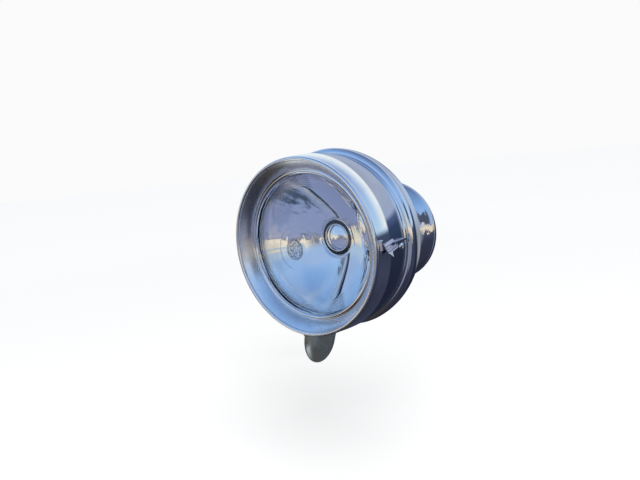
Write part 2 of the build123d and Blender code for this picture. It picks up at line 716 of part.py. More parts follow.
PIECES = {
    "pillar_pad": make_pad(),
    "bracket": make_bracket(),
    "mount_screw_upper": make_screw(1),
    "mount_screw_lower": make_screw(-1),
    "pillar_sleeve": make_sleeve(),
    "wedge_washer": make_wedge(),
    "lock_nut": make_lock_nut(),
    "arm_tube": make_arm_tube(),
    "elbow_case": make_elbow_case(),
    "swivel_nut": make_swivel_nut(),
    "stop_collar": make_stop_collar(),
    "handle_case": make_handle_case(),
    "grip_ferrule": make_ferrule(),
    "grip": make_grip(),
    "switch_button": make_button(),
    "swivel_collar": make_swivel_collar(),
    "rear_shell": make_shell(),
    "bezel": make_bezel(),
    "lens_gasket": make_lens_gasket(),
    "lens": make_lens(),
    "reflector": make_reflector(),
    "reflector_retainer": make_retainer(),
    "bulb_holder": make_bulb_holder(),
    "bulb": make_bulb(),
    "bulb_shield": make_bulb_shield(),
    "clip_pin": make_clip_pin(),
    "bezel_clip": make_clip(),
    "clip_screw": make_clip_screw(),
    "mirror_post": make_mirror_post(),
    "ball_liner": make_ball_liner(),
    "mirror_shell": make_mirror_shell(),
    "mirror_glass": make_mirror_glass(),
    "mirror_rim": make_mirror_rim(),
}

for name, piece in PIECES.items():
    export_step(piece, f"parts/{name}.step")
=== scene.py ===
# %% [markdown]
# # A chrome spot lamp with a mirror on its back
# This lesson dresses a finished model of a spot lamp. The lamp stands on a tube that goes through
# its mount to a grip on the far side, and a round mirror rides on the back of the head. The model
# gives the sizes, the places and the joints. Blender adds the turned chrome, the glass and the
# finish of each surface.

# %% Load the fixed model
import bpy
import json
from math import atan2, cos, degrees, hypot, pi, radians, sin, sqrt
from mathutils import Matrix, Vector


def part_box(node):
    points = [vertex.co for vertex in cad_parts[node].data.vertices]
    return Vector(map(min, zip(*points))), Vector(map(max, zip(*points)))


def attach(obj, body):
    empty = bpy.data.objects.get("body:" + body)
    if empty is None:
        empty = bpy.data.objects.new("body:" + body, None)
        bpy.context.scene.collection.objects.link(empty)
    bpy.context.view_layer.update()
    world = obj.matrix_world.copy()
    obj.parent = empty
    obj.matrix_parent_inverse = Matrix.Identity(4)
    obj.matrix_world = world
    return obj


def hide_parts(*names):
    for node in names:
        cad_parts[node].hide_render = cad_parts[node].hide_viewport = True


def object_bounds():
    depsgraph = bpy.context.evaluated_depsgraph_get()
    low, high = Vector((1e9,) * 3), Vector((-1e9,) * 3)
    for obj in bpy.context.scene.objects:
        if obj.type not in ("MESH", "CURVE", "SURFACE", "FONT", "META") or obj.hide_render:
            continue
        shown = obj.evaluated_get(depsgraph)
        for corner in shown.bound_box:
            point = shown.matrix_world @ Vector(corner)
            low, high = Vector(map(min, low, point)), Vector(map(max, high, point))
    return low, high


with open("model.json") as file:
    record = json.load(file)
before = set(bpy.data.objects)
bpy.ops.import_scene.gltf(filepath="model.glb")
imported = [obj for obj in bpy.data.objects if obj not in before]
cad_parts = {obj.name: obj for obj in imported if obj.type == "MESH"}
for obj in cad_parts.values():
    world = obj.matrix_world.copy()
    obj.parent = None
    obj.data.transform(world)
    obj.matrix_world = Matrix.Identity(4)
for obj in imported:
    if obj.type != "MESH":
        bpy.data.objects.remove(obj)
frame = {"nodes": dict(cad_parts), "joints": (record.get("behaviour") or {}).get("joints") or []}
cad_low, cad_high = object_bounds()
MM = 0.001
for name in sorted(frame["nodes"]):
    low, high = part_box(name)
    print(name, [round((b - a) / MM, 1) for a, b in zip(low, high)])

# %% [markdown]
# ## Where the lamp's axes lie
# Nearly every piece of the lamp is turned about one of five axes. They are read from the model, so
# each new piece lands on the one it stands for. The beam's axis starts at the front lip, the
# mirror's is parallel to it through the ball, and the other three are hinge axes.

# %% Read the axes from the model
joints = {j["name"]: j for j in frame["joints"]}
SIDE, BACK, HIGH = Vector((1, 0, 0)), Vector((0, 1, 0)), Vector((0, 0, 1))


def joint_axis(name):
    """Direction of a joint's axis."""
    return Vector(joints[name]["axis"]).normalized()


def joint_place(name):
    """Point on a joint's axis, in metres."""
    return Vector(joints[name]["pos_m"])


bezel_low, bezel_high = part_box("bezel")
LIP = Vector(((bezel_low.x + bezel_high.x) / 2, bezel_low.y, (bezel_low.z + bezel_high.z) / 2))
UP, INWARD = joint_axis("head_swivel"), joint_axis("arm_turn")
GEAR, HANDLE = joint_place("head_swivel"), joint_place("grip_twist")
BALL = joint_place("mirror_pan")
print("lip centre in mm", [round(c / MM, 2) for c in LIP])

# %% [markdown]
# ## The camera
# The photograph was taken from in front of the lamp, about 40 degrees off its beam. The place of
# the camera was fitted to the lamp's outlines. Its directions are kept as they were found, because
# the camera was also held a few degrees off level.

# %% Put the camera where the photograph was taken
PHOTO_WIDTH, PHOTO_FOCAL_PX, SENSOR = 640, 481, 36
CAMERA_FROM_LIP = Vector((285.2, -323.7, 70.7)) * MM
CAMERA_RIGHT = Vector((0.786, 0.611, -0.093)).normalized()
CAMERA_AHEAD = Vector((-0.6175, 0.7725, -0.1481)).normalized()

camera_up = CAMERA_RIGHT.cross(CAMERA_AHEAD).normalized()
camera_right = CAMERA_AHEAD.cross(camera_up).normalized()
bpy.ops.object.select_all(action="DESELECT")
bpy.ops.object.camera_add()
camera = bpy.context.object
camera.name = "photo_camera"
turn = Matrix((camera_right, camera_up, -CAMERA_AHEAD)).transposed().to_4x4()
camera.matrix_world = Matrix.Translation(LIP + CAMERA_FROM_LIP) @ turn
camera.data.sensor_width = SENSOR
camera.data.lens = SENSOR * PHOTO_FOCAL_PX / PHOTO_WIDTH
camera.data.clip_start = 0.01
bpy.context.scene.camera = camera
bpy.context.scene.view_settings.view_transform = "Standard"
print("lens", round(camera.data.lens, 2), "mm")

# %% [markdown]
# ## The studio
# Chrome has hardly any colour of its own: it shows what stands round it. The studio is a pale floor
# and an even, pale light for every dull surface. What mirrors see is a second picture, chosen in
# the world's nodes by the kind of ray: a soft blue sky, a pale strip and dark trees near the
# skyline, and a dim ground. It is painted by direction alone, so it stays put when the camera
# moves. A ray that comes out of the lamp, through its glass, sees another ground, because the bowl
# needs one that the smaller mirrors don't. A few helpers come first.

# %% Helpers for node trees
def feed(tree, socket, value):
    """Links a socket to another one, or sets it to a number, a place or a colour."""
    if isinstance(value, bpy.types.NodeSocket):
        tree.links.new(value, socket)
    elif socket.type == "RGBA":
        socket.default_value = (*value, 1)
    else:
        socket.default_value = value


def feed_all(tree, node, values):
    """Feeds several sockets of a node by their names."""
    for name, value in values.items():
        feed(tree, node.inputs[name], value)


def add_node(tree, kind, **values):
    """Adds a node and sets its values: names of sockets, or of the node's own settings."""
    node = tree.nodes.new(kind)
    for key, value in values.items():
        if key in node.inputs:
            feed(tree, node.inputs[key], value)
        else:
            setattr(node, key, value)
    return node


def add_pair(tree, kind, first, second, output=0, start=0, **values):
    """Adds a node that makes one result from two sockets, numbers, colours or shaders."""
    node = add_node(tree, kind, **values)
    feed(tree, node.inputs[start], first)
    feed(tree, node.inputs[start + 1], second)
    return node.outputs[output]


def combine_values(tree, operation, first, *others):
    """Combines sockets or numbers by a math operation, one after the other."""
    for other in others:
        first = add_pair(tree, "ShaderNodeMath", first, other, operation=operation)
    return first


def vector_math(tree, operation, first, second=(0, 0, 0)):
    """Adds a vector math node. A length comes out as a value."""
    output = "Value" if operation == "LENGTH" else "Vector"
    return add_pair(tree, "ShaderNodeVectorMath", first, second, output, operation=operation)


def mix_colours(tree, amount, first, second):
    """Adds a colour mix, whose ends are sockets or colours."""
    return add_pair(tree, "ShaderNodeMix", first, second, 2, 6, data_type="RGBA", Factor=amount)


def between(tree, value, low, high, to_low=0, to_high=1):
    """Adds a node that maps a value's range to another, without going past it."""
    node = add_node(tree, "ShaderNodeMapRange", interpolation_type="SMOOTHSTEP", Value=value)
    feed_all(tree, node, {"From Min": low, "From Max": high, "To Min": to_low, "To Max": to_high})
    return node.outputs["Result"]


def noise(tree, vector, scale, detail, roughness):
    """Adds a noise texture read at a place."""
    return add_node(tree, "ShaderNodeTexNoise", Vector=vector, Scale=scale, Detail=detail,
                    Roughness=roughness).outputs["Fac"]


# %% Colours of the mirrored room, from straight down to straight up
FRONT_SKY = [
    (-1, (0.03, 0.033, 0.05)), (-0.4, (0.04, 0.046, 0.085)), (-0.12, (0.075, 0.088, 0.15)),
    (-0.03, (0.13, 0.15, 0.25)), (0.03, (0.3, 0.36, 0.5)), (0.14, (0.36, 0.52, 0.8)),
    (0.45, (0.34, 0.56, 0.92)), (0.72, (0.23, 0.43, 0.8)), (1, (0.16, 0.27, 0.52))]
SIDE_SKY = [
    (-1, (0.02, 0.022, 0.04)), (-0.5, (0.05, 0.058, 0.1)), (-0.2, (0.036, 0.048, 0.085)),
    (0.02, (0.06, 0.085, 0.15)), (0.1, (0.54, 0.75, 0.96)), (0.35, (0.46, 0.68, 0.95)),
    (0.72, (0.37, 0.52, 0.8)), (0.9, (0.17, 0.23, 0.4)), (1, (0.14, 0.18, 0.34))]
BACK_SKY = [
    (-1, (0.008, 0.01, 0.022)), (-0.25, (0.02, 0.028, 0.055)), (0.06, (0.035, 0.062, 0.13)),
    (0.16, (0.085, 0.12, 0.26)), (0.22, (0.36, 0.44, 0.62)), (0.5, (0.41, 0.47, 0.61)),
    (1, (0.15, 0.17, 0.3))]
PALE_STRIP, TREES, HAZE = (0.92, 0.8, 0.62), (0.085, 0.1, 0.15), (0.5, 0.66, 0.86)
SKY_AHEAD, GLOW, FAR_SKY = (0.38, 0.54, 0.84), (0.93, 0.99, 1), (0.45, 0.58, 0.78)
DIM_FLOOR, LIT_GROUND, FAR_GROUND = (0.05, 0.046, 0.043), (0.24, 0.27, 0.37), (0.34, 0.36, 0.4)
BRIGHT_FLOOR, BOWL_GROUND = (0.85, 0.92, 0.95), (0.24, 0.27, 0.45)

# %% Read a ray's direction
world = bpy.data.worlds.new("studio")
bpy.context.scene.world = world
world.use_nodes = True
sky = world.node_tree
sky.nodes.clear()
direction = add_node(sky, "ShaderNodeTexCoord").outputs["Generated"]
toward = add_node(sky, "ShaderNodeSeparateXYZ", Vector=direction)
to_side, to_back, to_top = (toward.outputs[axis] for axis in "XYZ")
rays = add_node(sky, "ShaderNodeLightPath").outputs
in_lamp = between(sky, rays["Transmission Depth"], 0.4, 0.6)
out_of_lamp = combine_values(sky, "SUBTRACT", 1, in_lamp)
ragged = between(sky, noise(sky, direction, 7, 4, 0.6), 0.3, 0.7, -0.1, 0.1)
skyline = combine_values(sky, "ADD", to_top, ragged, combine_values(sky, "MULTIPLY", in_lamp, 0.03))


# %% Helpers that paint the room
def sky_ramp(stops):
    """Ramp over the height of a direction, from -1 straight down to 1 straight up."""
    lift = combine_values(sky, "MULTIPLY", combine_values(sky, "ADD", to_top, 1), 0.5)
    ramp = add_node(sky, "ShaderNodeValToRGB", Fac=lift)
    while len(ramp.color_ramp.elements) < len(stops):
        ramp.color_ramp.elements.new(0.5)
    for element, (height, colour) in zip(ramp.color_ramp.elements, stops):
        element.position = (height + 1) / 2
        element.color = (*colour, 1)
    return ramp.outputs["Color"]


def rising(value, low, high):
    """Mask that goes from 0 to 1 between two values."""
    return between(sky, value, low, high)


def falling(value, low, high):
    """Mask that goes from 1 to 0 between two values."""
    return between(sky, value, low, high, 1, 0)


def band(value, low, high, soft):
    """Mask that is 1 between two values and 0 outside them."""
    return combine_values(sky, "MULTIPLY", rising(value, low - soft, low + soft),
                          falling(value, high - soft, high + soft))


def painted(room, colour, *masks):
    """The room with a colour, or another picture, over it where all the masks are 1."""
    return mix_colours(sky, combine_values(sky, "MULTIPLY", *masks), room, colour)


# %% Paint the front of the room
front = painted(sky_ramp(FRONT_SKY), DIM_FLOOR, falling(to_side, -0.25, 0.15),
                falling(to_top, -0.22, -0.02), out_of_lamp)
for colour, depth, depth_soft, height, height_soft in (
        (PALE_STRIP, (-0.97, -0.05), 0.04, (-0.13, 0.09), 0.02),
        (HAZE, (-0.97, -0.5), 0.05, (0.09, 0.34), 0.08),
        (TREES, (-0.6, -0.14), 0.05, (0.14, 0.46), 0.05)):
    front = painted(front, colour, band(to_back, *depth, depth_soft),
                    band(skyline, *height, height_soft))
front = painted(front, SKY_AHEAD, falling(to_back, -0.9, -0.78), rising(to_top, 0.14, 0.26))
ahead_or_beside = combine_values(sky, "MAXIMUM", falling(to_back, -0.88, -0.8),
                                 rising(to_side, 0.3, 0.6))
front = painted(front, LIT_GROUND, falling(to_back, -0.6, -0.42),
                band(to_top, -0.55, -0.08, 0.08), ahead_or_beside, out_of_lamp)
front = painted(front, BRIGHT_FLOOR, falling(to_side, -0.66, -0.5),
                band(to_top, -0.8, -0.42, 0.06))

# %% Add the side and the back of the room
side = painted(sky_ramp(SIDE_SKY), GLOW, rising(to_back, 0.64, 0.77), rising(to_top, 0.04, 0.14))
mirror_room = painted(front, side, rising(to_back, -0.12, 0.1))
mirror_room = painted(mirror_room, BOWL_GROUND, falling(to_back, 0.45, 0.55),
                      band(skyline, -0.8, -0.17, 0.06), in_lamp)
mirror_room = painted(mirror_room, sky_ramp(BACK_SKY), rising(to_back, 0.765, 0.785))
far_back = mix_colours(sky, rising(to_top, -0.15, 0.1), FAR_GROUND, FAR_SKY)
mirror_room = painted(mirror_room, far_back, rising(to_back, 0.925, 0.965))
print("mirrored room:", len(sky.nodes), "nodes")

# %% Choose the room by the kind of ray
ROOM_LIGHT, BACKDROP_LIGHT = 0.62, 0.96


def shining(strength, colour=(1, 1, 1)):
    """Background that shines in a colour."""
    return add_node(sky, "ShaderNodeBackground", Color=colour, Strength=strength).outputs[0]


def choose(amount, first, second):
    """Mix of two shaders."""
    return add_pair(sky, "ShaderNodeMixShader", first, second, start=1, Fac=amount)


mirrored = combine_values(sky, "MAXIMUM", rays["Is Glossy Ray"], rays["Is Transmission Ray"])
plain = choose(rays["Is Camera Ray"], shining(ROOM_LIGHT), shining(BACKDROP_LIGHT))
add_node(sky, "ShaderNodeOutputWorld", Surface=choose(mirrored, plain, shining(1, mirror_room)))


# %% Lay the floor
def new_material(name, values):
    """Adds a material whose shader has these values, and gives back its tree and shader too."""
    material = bpy.data.materials.new(name)
    material.use_nodes = True
    tree = material.node_tree
    shader = tree.nodes["Principled BSDF"]
    feed_all(tree, shader, values)
    return material, tree, shader


FLOOR_DROP, FLOOR_SIZE, FLOOR_GREY = 0.14, 60, (0.88, 0.88, 0.88)
FILL_NEAR, FILL_FAR, FILL_FROM, FILL_TO = 0.34, 0.4144, 0.4, 3
bpy.ops.mesh.primitive_plane_add(size=FLOOR_SIZE, location=(LIP.x, LIP.y, cad_low.z - FLOOR_DROP))
floor = bpy.context.object
floor.name = "studio_floor"
floor_finish = {"Base Color": FLOOR_GREY, "Roughness": 0.9}
floor_material, tree, shader = new_material("studio_floor", floor_finish)
away = vector_math(tree, "LENGTH", add_node(tree, "ShaderNodeTexCoord").outputs["Object"])
fill = between(tree, away, FILL_FROM, FILL_TO, FILL_NEAR, FILL_FAR)
on_view = add_node(tree, "ShaderNodeLightPath").outputs["Is Camera Ray"]
fill = combine_values(tree, "MULTIPLY", on_view, fill)
lit = add_node(tree, "ShaderNodeEmission", Color=(1, 1, 1), Strength=fill)
both = add_pair(tree, "ShaderNodeAddShader", shader.outputs[0], lit.outputs[0])
feed(tree, tree.nodes["Material Output"].inputs["Surface"], both)
floor.data.materials.append(floor_material)
floor.visible_glossy = False
floor.visible_transmission = False

# %% Hang one large soft lamp over the lamp's shoulder
SOFT_FROM_LIP, SOFT_SIZE, SOFT_WATTS = Vector((0.9, -0.8, 1.5)), 1.2, 14
bpy.ops.object.light_add(type="AREA", location=LIP + SOFT_FROM_LIP)
soft_lamp = bpy.context.object
soft_lamp.data.shape = "DISK"
soft_lamp.data.size = SOFT_SIZE
soft_lamp.data.energy = SOFT_WATTS
soft_lamp.rotation_mode = "QUATERNION"
soft_lamp.rotation_quaternion = (soft_lamp.location - LIP).to_track_quat("Z", "Y")
soft_lamp.visible_glossy = False
soft_lamp.visible_transmission = False

# %% [markdown]
# ## How the turned pieces are drawn
# A turner sees the lamp as half sections: a line drawn beside an axis, then turned once round it.
# The helpers here work the same way. A plane is merged to one corner, the corner is extruded from
# point to point, and the line is spun. Points are pairs, the distance from the axis first and the
# place along it second, both in millimetres.

# %% Helpers for outlines
ROUND = 2 * pi
OUT = BACK.cross(UP).normalized()
GRIP_DOWN = -joint_axis("grip_twist")
LAMP = (LIP, SIDE, BACK)
SWIVEL = (GEAR, OUT, UP)
TUBE = (Vector((0, 0, 0)), UP, INWARD)
GRIP = (HANDLE, INWARD, GRIP_DOWN)
MIRROR = (BALL, SIDE, BACK)


def arc(start, through, end, steps):
    """Points of the arc through three places of an outline, its ends included."""
    (ax, ay), (bx, by), (cx, cy) = start, through, end
    d = 2 * (ax * (by - cy) + bx * (cy - ay) + cx * (ay - by))
    a2, b2, c2 = ax * ax + ay * ay, bx * bx + by * by, cx * cx + cy * cy
    mx = (a2 * (by - cy) + b2 * (cy - ay) + c2 * (ay - by)) / d
    my = (a2 * (cx - bx) + b2 * (ax - cx) + c2 * (bx - ax)) / d
    first, middle, last = (atan2(y - my, x - mx) for x, y in (start, through, end))
    forward = (last - first) % ROUND
    if (middle - first) % ROUND > forward:
        forward -= ROUND
    radius = hypot(ax - mx, ay - my)
    turns = [first + forward * n / steps for n in range(steps + 1)]
    return [(mx + radius * cos(t), my + radius * sin(t)) for t in turns]


def roll(radius, place, size, first, last, steps):
    """Points round a small circle between two angles: 0 points away from the axis, 90 along it."""
    turns = [radians(first + (last - first) * n / steps) for n in range(steps + 1)]
    return [(radius + size * cos(t), place + size * sin(t)) for t in turns]


def nose(radius, place, depth, steps):
    """Quarter ellipse from a radius in to the axis."""
    turns = [pi / 2 * n / steps for n in range(steps + 1)]
    return [(radius * max(cos(t), 0), place + depth * sin(t)) for t in turns]


def bar(inner, outer, start, end):
    """Outline of a plain round bar, or of a sleeve when its inner radius isn't 0."""
    return [(inner, start), (outer, start), (outer, end), (inner, end)]


def softened(points, size, steps=4):
    """Rounds an outline's corners, but for those on the axis and those too near to another."""
    corners = [Vector(p) for p in points]
    result = []
    for n, corner in enumerate(corners):
        ends = (corners[n - 1], corners[(n + 1) % len(corners)])
        if corner.x == 0 or min((e - corner).length for e in ends) < 2.05 * size:
            result.append(tuple(corner))
            continue
        first, last = (corner + (e - corner).normalized() * size for e in ends)
        for step in range(steps + 1):
            t = step / steps
            result.append(tuple(first * (1 - t) ** 2 + corner * (2 * t * (1 - t)) + last * t**2))
    return result


# %% Helpers that draw and spin
WELD = 1e-6  # metres within which points are one
SHARP, SOFT_SHARP, FLAT = 30, 50, 0.4  # degrees: a sharp edge, one on a soft form, no edge


def draw(name, spots, closed=True):
    """Draws a line through places in space, and leaves it selected in edit mode."""
    bpy.ops.object.select_all(action="DESELECT")
    bpy.ops.mesh.primitive_plane_add(size=MM)
    piece = bpy.context.object
    piece.name = name
    bpy.ops.object.mode_set(mode="EDIT")
    bpy.ops.mesh.merge(type="CENTER")
    bpy.ops.transform.translate(value=spots[0])
    route = spots + spots[:1] if closed else spots
    for here, there in zip(route, route[1:]):
        bpy.ops.mesh.extrude_region_move(TRANSFORM_OT_translate={"value": there - here})
    bpy.ops.mesh.select_all(action="SELECT")
    bpy.ops.mesh.remove_doubles(threshold=WELD)
    bpy.ops.mesh.select_all(action="SELECT")
    return piece


def close_up(angle=SHARP):
    """Welds what is being edited, points its faces outwards and shades it by angle."""
    bpy.ops.mesh.select_all(action="SELECT")
    bpy.ops.mesh.remove_doubles(threshold=WELD)
    bpy.ops.mesh.normals_make_consistent(inside=False)
    bpy.ops.object.mode_set(mode="OBJECT")
    bpy.ops.object.shade_smooth_by_angle(angle=radians(angle))


def spun(name, outline, axis, steps, angle=SHARP):
    """Spins a half section once round its axis. One that ends on the axis is left open there."""
    place, radial, along = axis
    spots = [place + (radial * r + along * s) * MM for r, s in outline]
    piece = draw(name, spots, closed=min(outline[0][0], outline[-1][0]) > WELD)
    bpy.ops.mesh.spin(steps=steps, angle=ROUND, center=place, axis=along)
    close_up(angle)
    return piece


def slab(name, centre, across, along, thick, sizes):
    """Box with its sides along three directions, to cut with."""
    half = [axis * (size * MM / 2) for axis, size in zip((across, along), sizes)]
    corner = centre - thick * (sizes[2] * MM / 2)
    spots = [corner + half[0] * x + half[1] * y for x, y in ((-1, -1), (1, -1), (1, 1), (-1, 1))]
    piece = draw(name, spots)
    bpy.ops.mesh.edge_face_add()
    bpy.ops.mesh.extrude_region_move(TRANSFORM_OT_translate={"value": thick * (sizes[2] * MM)})
    close_up()
    return piece


# %% Helpers that finish a form
def modified(piece, kind, **values):
    """Gives a piece a modifier and applies it."""
    bpy.context.view_layer.objects.active = piece
    modifier = piece.modifiers.new(kind, kind)
    for key, value in values.items():
        setattr(modifier, key, value)
    bpy.ops.object.modifier_apply(modifier=modifier.name)
    return piece


def combine(piece, other, operation):
    """Joins a second shape to a piece, or cuts it out of it."""
    modified(piece, "BOOLEAN", operation=operation, object=other)
    bpy.data.objects.remove(other)
    return piece


def bevelled(piece, size, segments=3, limit=35):
    """Rounds a piece's sharp edges."""
    return modified(piece, "BEVEL", width=size * MM, segments=segments, limit_method="ANGLE",
                    angle_limit=radians(limit))


def copied(name, node):
    """Merged copy of a fixed piece, with its flat faces whole, ready to be shaped."""
    piece = bpy.data.objects.new(name, frame["nodes"][node].data.copy())
    bpy.context.scene.collection.objects.link(piece)
    bpy.ops.object.select_all(action="DESELECT")
    piece.select_set(True)
    bpy.context.view_layer.objects.active = piece
    bpy.ops.mesh.customdata_custom_splitnormals_clear()
    bpy.ops.object.mode_set(mode="EDIT")
    bpy.ops.mesh.select_all(action="SELECT")
    bpy.ops.mesh.remove_doubles(threshold=WELD)
    bpy.ops.mesh.dissolve_limited(angle_limit=radians(FLAT))
    bpy.ops.object.mode_set(mode="OBJECT")
    return piece


def flat_faces(piece):
    """Shades a piece smoothly, but lets its broad faces keep their own flat shading."""
    bpy.context.view_layer.objects.active = piece
    bpy.ops.object.shade_smooth_by_angle(angle=radians(SHARP))
    return modified(piece, "WEIGHTED_NORMAL", keep_sharp=True, weight=100)


def eased(name, node, size):
    """Copy of a fixed piece whose sharp edges are broken, as a file or a tumbler leaves them."""
    return flat_faces(bevelled(copied(name, node), size))


def cast(name, node, grain, rounds):
    """Copy of a fixed piece whose forms flow into each other, as in a casting."""
    piece = modified(copied(name, node), "REMESH", mode="VOXEL", voxel_size=grain * MM)
    modified(piece, "SMOOTH", factor=0.5, iterations=rounds)
    bpy.ops.object.shade_smooth_by_angle(angle=radians(SOFT_SHARP))
    return piece


def coat(mesh, material):
    """Makes a finish the only one of a mesh."""
    mesh.materials.clear()
    mesh.materials.append(material)


def dress(piece, material, slot_name, body, *nodes):
    """Gives a piece its finish and its body, and hides the fixed pieces that it stands for."""
    coat(piece.data, material)
    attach(piece, body)
    if nodes:
        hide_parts(*nodes)
    piece.data.calc_loop_triangles()
    spots = [v.co for v in piece.data.vertices]
    sizes = [round((max(s[i] for s in spots) - min(s[i] for s in spots)) / MM, 1) for i in range(3)]
    print(piece.name, sizes, len(piece.data.loop_triangles), "triangles")


def turned(name, outline, axis, steps, *finish):
    """Spins a half section and dresses the piece."""
    dress(spun(name, outline, axis, steps), *finish)


def refinish(piece, material, chosen):
    """Gives a second finish to the faces that a test picks."""
    piece.data.materials.append(material)
    for face in piece.data.polygons:
        if chosen(face):
            face.material_index = len(piece.data.materials) - 1


# %% [markdown]
# ## Shared finishes
# Old plating isn't even. It carries faint cloudy haze, fine rubbing marks and, low down, pits where
# rust has come through. One node group makes these three effects from a piece's own coordinates,
# and each metal sets how much of each it shows.

# %% Node group for worn metal
worn = bpy.data.node_groups.new("worn_metal", "ShaderNodeTree")
SOCKETS = {"NodeSocketFloat": ("Haze", "Pits", "Rubbing", "Polish", "Dullness"),
           "NodeSocketColor": ("Bright", "Dull")}
for kind, names in SOCKETS.items():
    for name in names:
        worn.interface.new_socket(name=name, in_out="INPUT", socket_type=kind)
for name, kind in (("Color", "Color"), ("Roughness", "Float"), ("Height", "Float")):
    worn.interface.new_socket(name=name, in_out="OUTPUT", socket_type="NodeSocket" + kind)
given = worn.nodes.new("NodeGroupInput").outputs
where = add_node(worn, "ShaderNodeTexCoord").outputs["Object"]
cloud = between(worn, noise(worn, where, 38, 4, 0.6), 0.42, 0.68)
haze = combine_values(worn, "MULTIPLY", cloud, given["Haze"])
speck = between(worn, noise(worn, where, 900, 2, 0.5), 0.6, 0.68)
patch = between(worn, noise(worn, where, 60, 3, 0.55), 0.42, 0.62)
pits = combine_values(worn, "MULTIPLY", speck, patch, given["Pits"])
fine = noise(worn, where, 1600, 2, 0.6)
rubbing = combine_values(worn, "MULTIPLY", between(worn, fine, 0.35, 0.75), given["Rubbing"])
dulled = combine_values(worn, "MINIMUM", combine_values(worn, "ADD", haze, pits), 1)
all_wear = combine_values(worn, "MINIMUM", combine_values(worn, "ADD", dulled, rubbing), 1)
feed_all(worn, worn.nodes.new("NodeGroupOutput"), {
    "Color": mix_colours(worn, dulled, given["Bright"], given["Dull"]),
    "Roughness": between(worn, all_wear, 0, 1, given["Polish"], given["Dullness"]),
    "Height": combine_values(worn, "SUBTRACT", combine_values(worn, "MULTIPLY", fine, 0.15), pits)})
print("worn_metal:", len(worn.nodes), "nodes")


# %% Materials of metal
def relief(tree, height, strength, depth=0.0004):
    """Normal of a surface with a fine height on it."""
    return add_node(tree, "ShaderNodeBump", Strength=strength, Distance=depth,
                    Height=height).outputs["Normal"]


def metal(name, bright, dull, haze, pits, rubbing, polish, dullness, bump=0.02, metallic=1):
    """Metal whose wear comes from the shared group."""
    material, tree, shader = new_material(name, {"Metallic": metallic})
    wear = add_node(tree, "ShaderNodeGroup", node_tree=worn)
    feed_all(tree, wear, {"Haze": haze, "Pits": pits, "Rubbing": rubbing, "Polish": polish,
                          "Dullness": dullness, "Bright": bright, "Dull": dull})
    feed_all(tree, shader, {"Base Color": wear.outputs["Color"],
                            "Roughness": wear.outputs["Roughness"],
                            "Normal": relief(tree, wear.outputs["Height"], bump)})
    return material


METALS = {  # bright and dull colour, haze, pits, rubbing, polish, dullness, bump, metallic
    "polished_chrome": ((0.86, 0.87, 0.9), (0.55, 0.55, 0.56), 0.18, 0.35, 0.1, 0.025, 0.22),
    # The clip's chrome: its pits and rubbing are wear. Its darker, lavender colour is painted shade
    # with a painted lavender reflection.
    "worn_chrome_painted_shade": ((0.56, 0.57, 0.68), (0.25, 0.25, 0.3), 0.35, 0.7, 0.35, 0.16, 0.34, 0.04),
    "dish_chrome": ((0.9, 0.9, 0.92), (0.62, 0.6, 0.58), 0.4, 0.9, 0.35, 0.26, 0.42, 0.05),
    # The lip's chrome is rougher from rubbing. It is also lighter, which is a painted highlight
    # along the rim.
    "rubbed_chrome_painted_highlight": ((0.96, 0.96, 0.97), (0.75, 0.75, 0.75), 0.1, 0.2, 0.5, 0.2, 0.34, 0.01),
    "satin_case": ((0.5, 0.55, 0.52), (0.3, 0.33, 0.31), 0.5, 0.5, 0.5, 0.22, 0.38, 0.06, 0.82),
    "reflector_silver": ((0.95, 0.95, 0.97), (0.8, 0.81, 0.84), 0.1, 0.05, 0.1, 0.015, 0.1, 0.01),
    "mirror_silver": ((0.93, 0.94, 0.96), (0.7, 0.72, 0.74), 0.05, 0.05, 0.05, 0.005, 0.05, 0),
    "zinc_hardware": ((0.62, 0.63, 0.65), (0.36, 0.35, 0.33), 0.5, 0.6, 0.5, 0.22, 0.45, 0.12),
    "nickel_holder": ((0.82, 0.8, 0.77), (0.55, 0.52, 0.48), 0.35, 0.3, 0.3, 0.1, 0.32, 0.03),
    "shield_paint": ((0.8, 0.81, 0.84), (0.62, 0.62, 0.63), 0.4, 0.1, 0.2, 0.35, 0.5, 0.02, 0.35),
    "tungsten": ((0.42, 0.41, 0.4), (0.2, 0.2, 0.2), 0.4, 0.1, 0.3, 0.3, 0.5)}
finishes = {name: metal(name, *values) for name, values in METALS.items()}
chrome, zinc, silver, nickel = (finishes[name] for name in (
    "polished_chrome", "zinc_hardware", "reflector_silver", "nickel_holder"))
print(len(finishes), "metals")

# %% [markdown]
# ## Glass, rubber and plastic
# The lens is clear pressed glass, a little green in its thickness. The disc at its middle is
# frosted with fine stipple, on the front only. Rubber and plastic have a grain that only shows
# close to.

# %% Materials of glass
DISC_R, DISC_END = 9.6, -2.5
LENS_TINT, BULB_TINT = (0.97, 0.99, 0.985), (0.98, 0.98, 0.98)
STIPPLE_DARK, STIPPLE_PALE, STIPPLE_ROUGHNESS = (0.16, 0.18, 0.22), (0.92, 0.94, 0.97), 0.45


def clear_glass(name, tint):
    """Clear glass, with its tree and shader."""
    return new_material(name, {"Transmission Weight": 1, "IOR": 1.5, "Base Color": tint,
                               "Roughness": 0})


